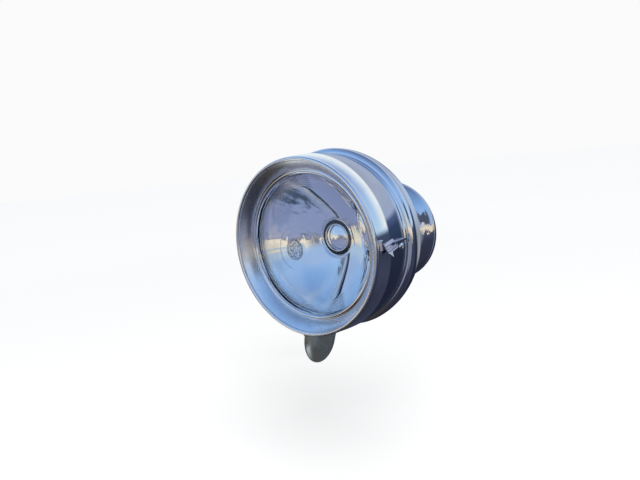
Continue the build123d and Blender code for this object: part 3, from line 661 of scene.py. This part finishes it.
lens_glass, tree, shader = clear_glass("lens_glass", LENS_TINT)
bulb_glass = clear_glass("bulb_glass", BULB_TINT)[0]
where = add_node(tree, "ShaderNodeTexCoord").outputs["Object"]
from_lip = vector_math(tree, "SUBTRACT", where, LIP)
reach = vector_math(tree, "LENGTH", vector_math(tree, "MULTIPLY", from_lip, (1, 0, 1)))
depth = add_node(tree, "ShaderNodeSeparateXYZ", Vector=from_lip).outputs["Y"]
in_disc = between(tree, reach, (DISC_R - 0.15) * MM, (DISC_R + 0.15) * MM, 1, 0)
on_front = between(tree, depth, (DISC_END - 0.3) * MM, (DISC_END + 0.3) * MM, 1, 0)
mask = combine_values(tree, "MULTIPLY", in_disc, on_front)
grain = noise(tree, where, 700, 3, 0.6)
disc_rim = between(tree, reach, (DISC_R - 1.2) * MM, (DISC_R - 0.4) * MM, 1, 0.25)
stipple = combine_values(tree, "MULTIPLY", between(tree, grain, 0.44, 0.56), disc_rim)
frost = mix_colours(tree, stipple, STIPPLE_DARK, STIPPLE_PALE)
feed_all(tree, shader, {
    "Base Color": mix_colours(tree, mask, LENS_TINT, frost),
    "Roughness": between(tree, mask, 0, 1, 0, STIPPLE_ROUGHNESS),
    "Normal": relief(tree, combine_values(tree, "MULTIPLY", grain, mask), 0.6)})


# %% Materials of rubber and plastic
def dull_stuff(name, colour, second, grain, roughness, bump):
    """Rubber or plastic with a fine grain and a slow change of tone."""
    material, tree, shader = new_material(name, {})
    where = add_node(tree, "ShaderNodeTexCoord").outputs["Object"]
    slow = between(tree, noise(tree, where, 30, 4, 0.6), 0.35, 0.7)
    fine = noise(tree, where, grain, 3, 0.6)
    feed_all(tree, shader, {
        "Base Color": mix_colours(tree, slow, colour, second),
        "Roughness": between(tree, fine, 0.2, 0.8, roughness - 0.12, roughness + 0.12),
        "Normal": relief(tree, fine, bump, 0.0005)})
    return material


DULL_STUFFS = {  # two colours, scale of the grain, roughness, bump
    "gasket_rubber": ((0.018, 0.018, 0.017), (0.035, 0.034, 0.032), 900, 0.72, 0.5),
    "grip_plastic": ((0.035, 0.018, 0.01), (0.06, 0.03, 0.016), 260, 0.28, 0.05),
    "button_plastic": ((0.3, 0.025, 0.02), (0.22, 0.02, 0.018), 400, 0.35, 0.08),
    "liner_plastic": ((0.62, 0.6, 0.54), (0.52, 0.5, 0.44), 700, 0.5, 0.2)}
finishes.update({name: dull_stuff(name, *values) for name, values in DULL_STUFFS.items()})

# %% Finish the five fixed pieces that stay as they are
for node, finish in {"lens_gasket": "gasket_rubber", "reflector_retainer": "zinc_hardware",
                     "bulb_holder": "nickel_holder", "swivel_nut": "zinc_hardware",
                     "ball_liner": "liner_plastic"}.items():
    coat(frame["nodes"][node].data, finishes[finish])
    print(node, "has", finish)

# %% [markdown]
# ## The bezel
# The front ring is one piece of spun brass, plated. From its edge it rolls over a thin lip, runs in
# as a dished cone to a small bead beside the glass, and runs back as a broad bowed band to a beaded
# seam. It is drawn as one closed section, so both its walls are right, and spun finely, because
# chrome shows every flat. The rolled lip is rubbed by every cloth that wipes the lamp, so it has a
# softer shine. Its chrome is also lighter, which is a painted highlight along the rim. The dish,
# which nobody wipes, is hazy and pitted.

# %% Draw and spin the bezel
def turned_size(node, origin):
    """Radius of a fixed piece that faces along the beam, and its two ends behind a place, in mm."""
    low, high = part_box(node)
    return (high.x - low.x) / 2 / MM, (low.y - origin.y) / MM, (high.y - origin.y) / MM


ROLL_R, WALL = 1.9, 1.4
BAND_R, _, SEAM_S = turned_size("bezel", LIP)
LIP_R, SEAM_R, BAND_S = BAND_R - 4, BAND_R - 1.7, 30
DISH_R, DISH_S, DISH_SAG = LIP_R - 11, 15, 1.13
SEAT_R, SEAT_S = DISH_R - 2, DISH_S + 2.38

dish_start = (LIP_R - 1.75, ROLL_R + 0.72)
dish_middle = ((LIP_R + DISH_R - 0.8) / 2 - DISH_SAG, (DISH_S + 2.8) / 2 - DISH_SAG)
back_start = (LIP_R - 0.6, ROLL_R + 2.6)
back_middle = (dish_middle[0], dish_middle[1] + WALL * 1.2)
bezel_outline = (
    roll(SEAM_R - 0.3, SEAM_S - 0.9, 0.9, 90, -42, 10)
    + arc((SEAM_R + 0.18, SEAM_S - 1.9), (BAND_R, BAND_S), (LIP_R + 1.52, ROLL_R + 1.5), 44)
    + roll(LIP_R, ROLL_R, ROLL_R, 30, -202, 26)
    + arc(dish_start, dish_middle, (DISH_R, DISH_S), 28)[1:-3]
    + roll(DISH_R - 0.8, DISH_S + 0.1, 2.2, -45, -176, 16)
    + [(SEAT_R - 0.9, SEAT_S), (DISH_R + 2, SEAT_S), (DISH_R + 2, DISH_S + 1.2)]
    + arc((DISH_R + 0.8, DISH_S + 1.1), back_middle, back_start, 16)
    + arc((LIP_R + 0.1, ROLL_R + 2.4), (BAND_R - WALL, BAND_S), (SEAM_R - WALL, SEAM_S), 24))
bezel = spun("bezel_ring", bezel_outline, LAMP, steps=256)
dress(bezel, chrome, "chrome", "head", "bezel")


# %% Rub the lip, paint a highlight on it, and dull the dish
def on_ring(face, inner, outer, end):
    """Whether a face lies between two radii of the lamp, and ahead of a place along its axis."""
    away = hypot(face.center.x - LIP.x, face.center.z - LIP.z) / MM
    return inner < away < outer and face.center.y - LIP.y < end * MM


# The lip's lighter chrome is a painted highlight along the rim; its roughness is the rubbing.
refinish(bezel, finishes["rubbed_chrome_painted_highlight"],
         lambda face: on_ring(face, LIP_R - 1.6, LIP_R + 1.6, ROLL_R + 1))
refinish(bezel, finishes["dish_chrome"],
         lambda face: on_ring(face, DISH_R + 1, LIP_R - 1.6, DISH_S) and face.normal.y < 0)

# %% [markdown]
# ## The lens
# The glass is a thick pressed dome. Its front has a plain stippled disc at the middle, sunk by a
# fraction of a millimetre, and a row of moulded ripples near the edge that bend the light. Its back
# is smooth but for one fine ring. Each face's depth is one formula, with these added.

# %% Draw and spin the lens
LENS_R, lens_from, lens_to = turned_size("lens", LIP)
LENS_FRONT = DISH_S + WALL * 1.7 + 1.2
LENS_T, DOME_R = 4, LENS_R - 5
LENS_BACK = LENS_FRONT + LENS_T
DOME_RISE = lens_to - lens_from - LENS_T
BALL_FORM = (DOME_R**2 + DOME_RISE**2) / (2 * DOME_RISE)
RIPPLE_START, RIPPLE_END, RIPPLE_PITCH, RIPPLE_DEPTH = 55, 66, 1.57, 0.13
DISC_DEPTH, RING_R, RING_DEPTH, LENS_STEP = 0.22, 20.5, 0.14, 0.25


def dome(r, size):
    """Depth of a ball's surface at a distance from the lamp's axis."""
    return LENS_FRONT - DOME_RISE + BALL_FORM - sqrt(size**2 - r**2)


def lens_face(r):
    """Depth of the lens's front, with its disc and ripples."""
    depth = dome(r, BALL_FORM)
    if r < DISC_R:
        depth += DISC_DEPTH
    if RIPPLE_START < r < RIPPLE_END:
        depth += RIPPLE_DEPTH * (1 - cos((r - RIPPLE_START) / RIPPLE_PITCH * ROUND)) / 2
    return depth


def lens_back(r):
    """Depth of the lens's back, with its ring."""
    return dome(r, BALL_FORM - LENS_T) + RING_DEPTH * max(1 - abs(r - RING_R) * 2, 0)


steps_in = [n * LENS_STEP for n in range(int(DOME_R / LENS_STEP) + 1)]
front_radii = [r for r in steps_in if r % 2 == 0 or abs(r - RING_R) < 1 or r >= RIPPLE_START
               or abs(r - DISC_R) < 0.3]
foot = DOME_R - 2
back_radii = sorted([foot * n / 40 for n in range(41)]
                    + [RING_R + LENS_STEP * n for n in range(-2, 3)])
lens_outline = (
    [(r, lens_face(r)) for r in front_radii]
    + [(LENS_R - 0.5, LENS_FRONT), (LENS_R, LENS_FRONT + 0.5), (LENS_R, LENS_BACK - 0.5),
       (LENS_R - 0.5, LENS_BACK), (foot, LENS_BACK)]
    + [(r, lens_back(r)) for r in reversed(back_radii)])
lens = spun("lens_dome", lens_outline, LAMP, steps=224, angle=SOFT_SHARP)
dress(lens, lens_glass, "clear_glass", "head", "lens")

# %% [markdown]
# ## The reflector
# Behind the glass is a silvered bowl. Most of it is a wide, shallow parabola. Round the bulb, a
# deep pocket with a rounded mouth leads to the neck for the bulb's holder. At the front the bowl
# ends in a flat flange behind the glass.

# %% Draw and spin the reflector
REFLECTOR_R, BOWL_DEPTH, NECK_R, NECK_L = LENS_R - 6, 63.13, 12, 16
WIDE_DEPTH, POCKET_MOUTH_R, POCKET_R, BOWL_WALL = 38, 21.5, 17, 1.6
BOWL_FRONT = LENS_BACK + 0.2
VERTEX = BOWL_FRONT + BOWL_DEPTH
FOCUS = VERTEX - REFLECTOR_R**2 / (4 * BOWL_DEPTH)


def bowl(r, depth):
    """Depth of a parabola that ends at the flange, at a distance from the lamp's axis."""
    return BOWL_FRONT + depth * (1 - (r / REFLECTOR_R) ** 2)


mouth_s, neck_s = bowl(POCKET_MOUTH_R, WIDE_DEPTH), bowl(NECK_R, BOWL_DEPTH)
wide_radii = [POCKET_MOUTH_R + (REFLECTOR_R - POCKET_MOUTH_R) * n / 88 for n in range(89)]
pocket_start, mouth_middle = (POCKET_R, mouth_s + 10), (POCKET_R + 0.9, mouth_s + 2.6)
pocket = arc((NECK_R, neck_s), (POCKET_R - 1.2, VERTEX - 8), pocket_start, 16)
pocket += arc(pocket_start, mouth_middle, (POCKET_MOUTH_R, mouth_s), 14)[1:-1]
bowl_outline = (
    pocket + [(r, bowl(r, WIDE_DEPTH)) for r in wide_radii]
    + [(LENS_R, BOWL_FRONT), (LENS_R, BOWL_FRONT + BOWL_WALL)]
    + [(r, bowl(r, WIDE_DEPTH) + BOWL_WALL) for r in reversed(wide_radii[8::8])]
    + [(r + 1.4, s + 0.6) for r, s in reversed(pocket[4::4])]
    + [(NECK_R + 1, neck_s + 2), (NECK_R + 1, neck_s + NECK_L), (NECK_R, neck_s + NECK_L)])
turned("reflector_bowl", bowl_outline, LAMP, 224, silver, "reflector_silver", "head", "reflector")

# %% [markdown]
# ## The bulb and its shield
# A small polished cup stands over the front of the bulb on two legs, so that no light leaves the
# lamp without meeting the reflector. The bulb is a thin glass envelope with a coiled filament on
# two posts.

# %% Shape the shield
SHIELD_R, SHIELD_RISE, SHIELD_WALL, SHIELD_SKIRT, LEG_R = 14.2, 4, 0.8, 9, 0.9
shield_rim = FOCUS - 9
skirt_end = shield_rim + SHIELD_SKIRT
cap_middle = (SHIELD_R / 2, shield_rim - SHIELD_RISE * 0.76)
cap_end = (SHIELD_R - 0.5, shield_rim - 0.28)
cap_front = arc((0, shield_rim - SHIELD_RISE), cap_middle, cap_end, 20)[:-1]
cap_back = [(r * 0.97, s + SHIELD_WALL) for r, s in reversed(cap_front)]
cap_back[-1] = (0, cap_back[-1][1])
shield_outline = (
    cap_front + roll(SHIELD_R - 1.2, shield_rim + 0.9, 1.2, -75, 0, 8)
    + roll(SHIELD_R - 0.3, skirt_end, 0.3, 0, 180, 6)
    + [(SHIELD_R - 0.6, shield_rim + 1)] + cap_back)
shield = spun("bulb_shield_cap", shield_outline, LAMP, steps=128)
for n, way in enumerate((-1, 1)):
    leg_axis = (LIP + HIGH * (way * (NECK_R - 1.2) * MM), SIDE, BACK)
    leg = spun(f"shield_leg_{n}", bar(0, LEG_R, shield_rim - 0.4, VERTEX + 7), leg_axis, 24)
    combine(shield, leg, "UNION")
dress(shield, silver, "reflector_silver", "head", "bulb_shield")
refinish(shield, finishes["shield_paint"], lambda face: face.normal.y > 0.2
         or (face.center - LIP).cross(BACK).dot(face.normal.cross(BACK)) < 0)

# %% Shape the bulb
BULB_R, BASE_R, BULB_WALL = 8.5, 7, 0.55
envelope = arc((0, FOCUS - BULB_R), (BULB_R * 0.93, FOCUS - BULB_R * 0.36), (BULB_R, FOCUS + 1), 20)
envelope += arc((BULB_R, FOCUS + 1), (BULB_R - 0.5, FOCUS + 5.5), (BASE_R, FOCUS + BULB_R), 8)[1:]
envelope += [(BASE_R, VERTEX + 1)]
inside = [(max(r - BULB_WALL, 0), s if r else s + BULB_WALL) for r, s in reversed(envelope)]
turned("bulb_envelope", envelope + inside, LAMP, 96, bulb_glass, "bulb_glass", "head", "bulb")
cap_outline = softened(bar(0, BASE_R + 0.3, VERTEX - 5, VERTEX + 7), 0.6)
turned("bulb_cap", cap_outline, LAMP, 64, nickel, "brass_holder", "head")

# %% Wind the filament
COIL_R, WIRE_R, COIL_TURNS, COIL_PITCH, COIL_STEPS, POST_L = 0.9, 0.16, 7, 0.75, 16, 14
start = LIP + (BACK * FOCUS - SIDE * (COIL_TURNS * COIL_PITCH / 2)) * MM
spots = []
for n in range(COIL_TURNS * COIL_STEPS + 1):
    t = n / COIL_STEPS
    circle = HIGH * cos(ROUND * t) + BACK * sin(ROUND * t)
    spots.append(start + (SIDE * (COIL_PITCH * t) + circle * COIL_R) * MM)
posts = [spots[0] + BACK * POST_L * MM, spots[-1] + BACK * POST_L * MM]
coil = draw("filament", posts[:1] + spots + posts[1:], closed=False)
bpy.ops.object.mode_set(mode="OBJECT")
coil.modifiers.new("wire", "SKIN")
for vertex in coil.data.skin_vertices[0].data:
    vertex.radius = (WIRE_R * MM, WIRE_R * MM)
bpy.ops.object.modifier_apply(modifier="wire")
dress(coil, finishes["tungsten"], "brass_holder", "head")

# %% [markdown]
# ## The rear shell
# The back of the head is a deep spun bowl. A short shoulder leads from the seam to its widest ring,
# and half an ellipse closes it. A skirt runs forward inside the bezel, where the clip's screw holds
# it. One hole is for the neck under the head and one for the stem of the mirror's post.

# %% Draw, spin and cut the rear shell
shell_r, _, POLE = turned_size("rear_shell", LIP)
SHELL_R = shell_r - 0.01
SHELL_S, SHELL_WALL, SKIRT = 57, 1.3, 26
SKIRT_R = SEAM_R - WALL - 0.3
SKIRT_IN = SKIRT_R - SHELL_WALL
NECK_HOLE_R, STEM_HOLE_R = 9.05, 4.05
shell_outline = (
    nose(SHELL_R - SHELL_WALL, SHELL_S, POLE - SHELL_S - SHELL_WALL, 40)[::-1]
    + [(SKIRT_IN, SEAM_S + 1.4), (SKIRT_IN, SEAM_S - SKIRT), (SKIRT_R, SEAM_S - SKIRT),
       (SKIRT_R, SEAM_S + 0.05)]
    + arc((SEAM_R, SEAM_S + 0.05), (SHELL_R - 1.6, SEAM_S + 1.65), (SHELL_R, SHELL_S), 14)
    + nose(SHELL_R, SHELL_S, POLE - SHELL_S, 72)[1:])
shell = spun("rear_shell_bowl", shell_outline, LAMP, steps=256)
combine(shell, spun("neck_hole", bar(0, NECK_HOLE_R, 20, 60), SWIVEL, 96), "DIFFERENCE")
combine(shell, spun("stem_hole", bar(0, STEM_HOLE_R, -40, -10), MIRROR, 48), "DIFFERENCE")
dress(shell, chrome, "chrome", "head", "rear_shell")

# %% [markdown]
# ## The mirror
# The mirror's back is a shallow spun dish with a thick boss over the ball. A rolled bead of bright
# metal holds the round glass in it. The whole mirror leans on the ball at the end of the post.

# %% Draw and spin the mirror's back
RIM_R, RIM_S, RIM_END = turned_size("mirror_rim", BALL)
HUB_R, HUB_FRONT, HUB_BACK, SOCKET_R, MOUTH_R = 13.5, -6.2, 12.5, 10.05, 8.2
back_form = arc((HUB_R + 2.2, HUB_FRONT + 6.5), (37.5, 6.2), (RIM_R - 1, RIM_S), 30)
mouth_angle = degrees(atan2(-sqrt(SOCKET_R**2 - MOUTH_R**2), MOUTH_R))
mirror_back_outline = (
    roll(0, 0, SOCKET_R, 90, mouth_angle, 24)
    + [(MOUTH_R, HUB_FRONT), (MOUTH_R + 0.5, HUB_FRONT)]
    + roll(HUB_R - 1.6, HUB_FRONT + 1.6, 1.6, -90, 0, 6)
    + arc((HUB_R, HUB_FRONT + 3.6), (HUB_R + 0.6, HUB_FRONT + 5.4), back_form[0], 6)
    + back_form[1:] + [(r, s + 1.5) for r, s in reversed(back_form[3::3])]
    + [(HUB_R, HUB_FRONT + 10.5), (HUB_R, HUB_BACK), (0, HUB_BACK)])
turned("mirror_back", mirror_back_outline, MIRROR, 192, chrome, "chrome", "mirror", "mirror_shell")

# %% Draw and spin the mirror's rim and glass
rim_outline = (
    roll(RIM_R - 1.3, RIM_S + 1.3, 1.3, 200, 360, 12)
    + roll(RIM_R - 1.5, RIM_END - 1.5, 1.5, 0, 90, 8)
    + [(RIM_R - 3.3, RIM_END)] + roll(RIM_R - 3.3, RIM_END - 0.35, 0.35, 90, 250, 5)
    + [(RIM_R - 1.95, RIM_END - 0.75), (RIM_R - 1.95, RIM_S + 1.2)])
turned("mirror_bead", rim_outline, MIRROR, 192, chrome, "chrome", "mirror", "mirror_rim")
glass_outline = softened(bar(0, *turned_size("mirror_glass", BALL)), 0.5)
turned("mirror_face", glass_outline, MIRROR, 160,
       finishes["mirror_silver"], "mirror_silver", "mirror", "mirror_glass")

# %% Draw and spin the post
FOOT_S, FOOT_R, STEM_R, BALL_R = -16.5, 12, 4, 8
pole_s = (LIP.y - BALL.y) / MM + POLE
ball_start = degrees(atan2(-sqrt(BALL_R**2 - STEM_R**2), STEM_R))
post_outline = (
    [(0, pole_s - 6), (STEM_R, pole_s - 6), (STEM_R, pole_s - 3.4), (FOOT_R, pole_s - 3.4)]
    + roll(FOOT_R - 1, FOOT_S - 1, 1, 0, 90, 5)
    + arc((STEM_R + 2.6, FOOT_S), (STEM_R + 0.75, FOOT_S + 0.75), (STEM_R, FOOT_S + 2.6), 8)
    + roll(0, 0, BALL_R, ball_start, 90, 28)[:-1] + [(0, BALL_R)])
turned("mirror_post_turned", post_outline, MIRROR, 96, chrome, "chrome", "head", "mirror_post")

# %% [markdown]
# ## Screws and clip
# A cut screw is turned first and slotted last, so it is drawn with its thread as a saw-tooth line
# and a thin slab is then cut out of its head. The clip and its pin are copies of the fixed pieces
# with their edges broken, because no real edge is perfectly sharp. The clip's bar is pressed with
# three ribs, which stiffen it and break up what it mirrors.

# %% Turn and slot the screws
def thread(radius, start, end, pitch, depth):
    """Saw-tooth outline of a cut thread."""
    spots = []
    for n in range(int((end - start) / pitch)):
        spots += [(radius - depth, start + n * pitch), (radius, start + (n + 0.5) * pitch)]
    return spots + [(radius - depth, end)]


def slotted_screw(name, axis, shank, head, slot_way, slot_width, body, node):
    """Turned screw with a slot across its domed head, given as its radius, seat and height."""
    place, radial, along = axis
    head_r, seat, height = head
    dome_outline = nose(head_r, seat + 0.3, height - 0.3, 14)[1:]
    head_outline = [(head_r - 0.2, seat), (head_r, seat + 0.3)] + dome_outline
    screw = spun(name, shank + head_outline, axis, steps=64)
    top, across = place + along * ((seat + height) * MM), along.cross(slot_way)
    sizes = (slot_width, head_r * 3, height * 0.9)
    combine(screw, slab("slot", top, across, slot_way, along, sizes), "DIFFERENCE")
    dress(screw, chrome, "chrome", body, node)


MOUNT = "pillar_mount"
SCREW_SEAT, SCREW_SPACING, SCREW_L, SCREW_R, SLOT_TURN = 7.5, 54, 22, 2.1, 0.5
SCREW_HEAD_R, SCREW_HEAD_RISE, SCREW_SLOT = 4.4, 2.4, 1.1
for side_word, way in (("upper", 1), ("lower", -1)):
    screw_axis = (HIGH * (way * SCREW_SPACING / 2 * MM), BACK, SIDE)
    shank = ([(0, -SCREW_L), (0.4, -SCREW_L)] + thread(SCREW_R, -SCREW_L + 2, -0.4, 1, 0.4)
             + [(SCREW_R + 0.3, 0), (SCREW_R + 0.3, SCREW_SEAT)])
    slot_way = (BACK * cos(SLOT_TURN * way) + HIGH * sin(SLOT_TURN * way)).normalized()
    node = f"mount_screw_{side_word}"
    slotted_screw(node + "_cut", screw_axis, shank, (SCREW_HEAD_R, SCREW_SEAT, SCREW_HEAD_RISE),
                  slot_way, SCREW_SLOT, MOUNT, node)

CLIP_S, CLIP_DROP, CLIP_T = 33.2, 1.2, 1.3
CLIP_SCREW_R, CLIP_HEAD_R, CLIP_HEAD_RISE, CLIP_SLOT = 2, 3.6, 2.6, 0.9
clip_axis = (LIP + (BACK * CLIP_S - HIGH * CLIP_DROP) * MM, BACK, SIDE)
clip_face, shank_start = BAND_R + CLIP_T, SKIRT_IN - 2
shank = ([(0, shank_start), (1, shank_start)]
         + thread(CLIP_SCREW_R, shank_start + 0.8, clip_face - 2.4, 0.8, 0.3)
         + [(CLIP_SCREW_R, clip_face)])
slotted_screw("clip_screw_cut", clip_axis, shank, (CLIP_HEAD_R, clip_face, CLIP_HEAD_RISE),
              (BACK * 0.35 + HIGH).normalized(), CLIP_SLOT, "head", "clip_screw")

# %% File the clip's edges and press the ribs of its bar
BAR_S, BAR_RISE, BAR_STAND = CLIP_S - 16, 1, 2
BAR_TILT, BAR_LEAN = radians(10.7), radians(24)
RIB_R, RIB_HALF_L, RIB_HEIGHTS = 0.8, 6.2, (2.6, 0.3, -2)
bar_along = BACK * cos(BAR_TILT) + HIGH * sin(BAR_TILT)
bar_across = HIGH * cos(BAR_TILT) - BACK * sin(BAR_TILT)
bar_across = bar_across * cos(BAR_LEAN) - SIDE * sin(BAR_LEAN)
bar_middle = LIP + (SIDE * (BAND_R + BAR_STAND) + BACK * BAR_S + HIGH * BAR_RISE) * MM
clip = bevelled(copied("bezel_clip_filed", "bezel_clip"), 0.22, 2)
for n, height in enumerate(RIB_HEIGHTS):
    rib_axis = (bar_middle + bar_across * (height * MM), bar_across, bar_along)
    rib = spun(f"bar_rib_{n}", bar(0, RIB_R, -RIB_HALF_L, RIB_HALF_L), rib_axis, steps=24)
    combine(clip, rib, "UNION")
# The clip's darker, lavender chrome is painted shade with a painted lavender reflection, over its
# wear.
dress(flat_faces(clip), finishes["worn_chrome_painted_shade"], "chrome", "head", "bezel_clip")
dress(eased("clip_pin_filed", "clip_pin", 0.35), chrome, "chrome", "head", "clip_pin")

# %% [markdown]
# ## Castings and small copies
# The elbow under the head, the bracket at the mount and the handle's case are castings. A casting
# has no seam where a round neck leaves a round body: the metal flows. Voxels melt the copied forms
# into one skin, and a few rounds of smoothing leave the small fillets that a foundry would. Small
# turned, filed or moulded pieces are copies whose edges are broken.

# %% Cast the elbow, the bracket and the handle's case
for name, node, grain, rounds, finish, slot_name, body in (
        ("elbow_casting", "elbow_case", 0.75, 7, "satin_case", "satin_case", "arm"),
        ("bracket_casting", "bracket", 0.85, 6, "polished_chrome", "chrome", MOUNT),
        ("handle_casting", "handle_case", 0.75, 7, "polished_chrome", "chrome", "arm")):
    dress(cast(name, node, grain, rounds), finishes[finish], slot_name, body, node)

# %% Break the edges of the small pieces
for name, node, size, finish, slot_name, body in (
        ("swivel_collar_turned", "swivel_collar", 0.4, "polished_chrome", "chrome", "head"),
        ("pillar_pad_moulded", "pillar_pad", 0.4, "gasket_rubber", "gasket_rubber", MOUNT),
        ("wedge_washer_filed", "wedge_washer", 0.6, "zinc_hardware", "zinc_hardware", MOUNT)):
    dress(eased(name, node, size), finishes[finish], slot_name, body, node)

# %% [markdown]
# ## The tube and what grips it
# The tube runs through the mount in a threaded sleeve. A wedge and a six-sided nut pull the bracket
# tight, and a collar with a small set screw keeps the tube from sliding out. The nut is a hexagon
# whose corners were turned off on a lathe, so a hexagon and a turned disc are intersected.

# %% Turn the tube, the sleeve and the collar
TUBE_R, TUBE_BORE, TUBE_FROM, TUBE_TO = 11, 9, -54, 175
tube_outline = softened(bar(TUBE_BORE, TUBE_R, TUBE_FROM, TUBE_TO), 0.4)
turned("arm_tube_drawn", tube_outline, TUBE, 96, chrome, "steel_tube", "arm", "arm_tube")
SLEEVE_R, SLEEVE_FROM, SLEEVE_TO, SLEEVE_BORE = 14, -14, 87, 11.2
SLEEVE_PITCH, SLEEVE_CUT = 1.5, 0.7
sleeve_outline = (
    [(SLEEVE_BORE, SLEEVE_FROM), (SLEEVE_R - 0.8, SLEEVE_FROM)]
    + thread(SLEEVE_R, SLEEVE_FROM + 1, SLEEVE_TO - 1, SLEEVE_PITCH, SLEEVE_CUT)
    + [(SLEEVE_R - 0.8, SLEEVE_TO), (SLEEVE_BORE, SLEEVE_TO)])
turned("pillar_sleeve_threaded", sleeve_outline, TUBE, 96,
       zinc, "zinc_hardware", MOUNT, "pillar_sleeve")
STOP_FROM, STOP_TO, STOP_R = 87.3, 97.3, 17
SET_HOLE_R, SET_HEX_R, SET_TOP, HEX_FLOOR = 2.6, 1.3, 15.4, 13
stop_outline = softened(bar(TUBE_R + 0.1, STOP_R, STOP_FROM, STOP_TO), 0.8)
stop = spun("stop_collar_turned", stop_outline, TUBE, steps=96)
set_axis = (INWARD * ((STOP_FROM + STOP_TO) / 2 * MM), INWARD, UP)
for name, outline, sides in (("set_screw_hole", bar(0, SET_HOLE_R, SET_TOP, 19), 32),
                             ("set_screw_socket", bar(0, SET_HEX_R, HEX_FLOOR, 18), 6)):
    combine(stop, spun(name, outline, set_axis, sides), "DIFFERENCE")
dress(stop, chrome, "chrome", "arm", "stop_collar")

# %% Face the nut
NUT_FROM, NUT_TO, FACE_R, CORNER_R = 74, 83, 17.3, 21.5
facing_outline = [(0, NUT_FROM - 1), (FACE_R, NUT_FROM - 1), (CORNER_R, NUT_FROM + 1.9),
                  (CORNER_R, NUT_TO - 1.9), (FACE_R, NUT_TO + 1), (0, NUT_TO + 1)]
facing = spun("nut_facing", facing_outline, TUBE, steps=96)
nut = combine(copied("lock_nut_faced", "lock_nut"), facing, "INTERSECT")
dress(flat_faces(bevelled(nut, 0.25, 2, 25)), zinc, "zinc_hardware", MOUNT, "lock_nut")

# %% [markdown]
# ## The grip
# The lamp is aimed by a dark plastic grip with long flutes. A chromed ferrule closes its top and a
# red push button its end. The ferrule has one turned groove, and the button a hollow for the thumb.

# %% Turn the ferrule and the button, ease the grip
FERRULE_R, FERRULE_FROM, FERRULE_TO, PIN_BORE = 14.5, 20.3, 29.3, 6.2
ferrule_outline = (
    [(PIN_BORE, FERRULE_FROM), (FERRULE_R - 1.3, FERRULE_FROM)]
    + roll(FERRULE_R - 1.3, FERRULE_FROM + 1.3, 1.3, -80, 0, 6)
    + roll(FERRULE_R + 0.25, FERRULE_FROM + 4.2, 0.6, 245, 115, 6)
    + roll(FERRULE_R - 1.3, FERRULE_TO - 1.3, 1.3, 0, 90, 6) + [(PIN_BORE, FERRULE_TO)])
turned("grip_ferrule_turned", ferrule_outline, GRIP, 96, chrome, "chrome", "handle", "grip_ferrule")
GRIP_TO, BUTTON_R = 121.3, 6.5
button_outline = (
    [(0, GRIP_TO - 6.2), (BUTTON_R, GRIP_TO - 6.2), (BUTTON_R, GRIP_TO + 3)]
    + roll(BUTTON_R - 1.4, GRIP_TO + 3.1, 1.4, 5, 90, 8)
    + arc((BUTTON_R - 2, GRIP_TO + 4.4), (2.2, GRIP_TO + 4), (0, GRIP_TO + 3.9), 8))
turned("switch_button_moulded", button_outline, GRIP, 96,
       finishes["button_plastic"], "button_plastic", "button", "switch_button")
grip = eased("grip_fluted", "grip", 0.45)
dress(grip, finishes["grip_plastic"], "grip_plastic", "handle", "grip")
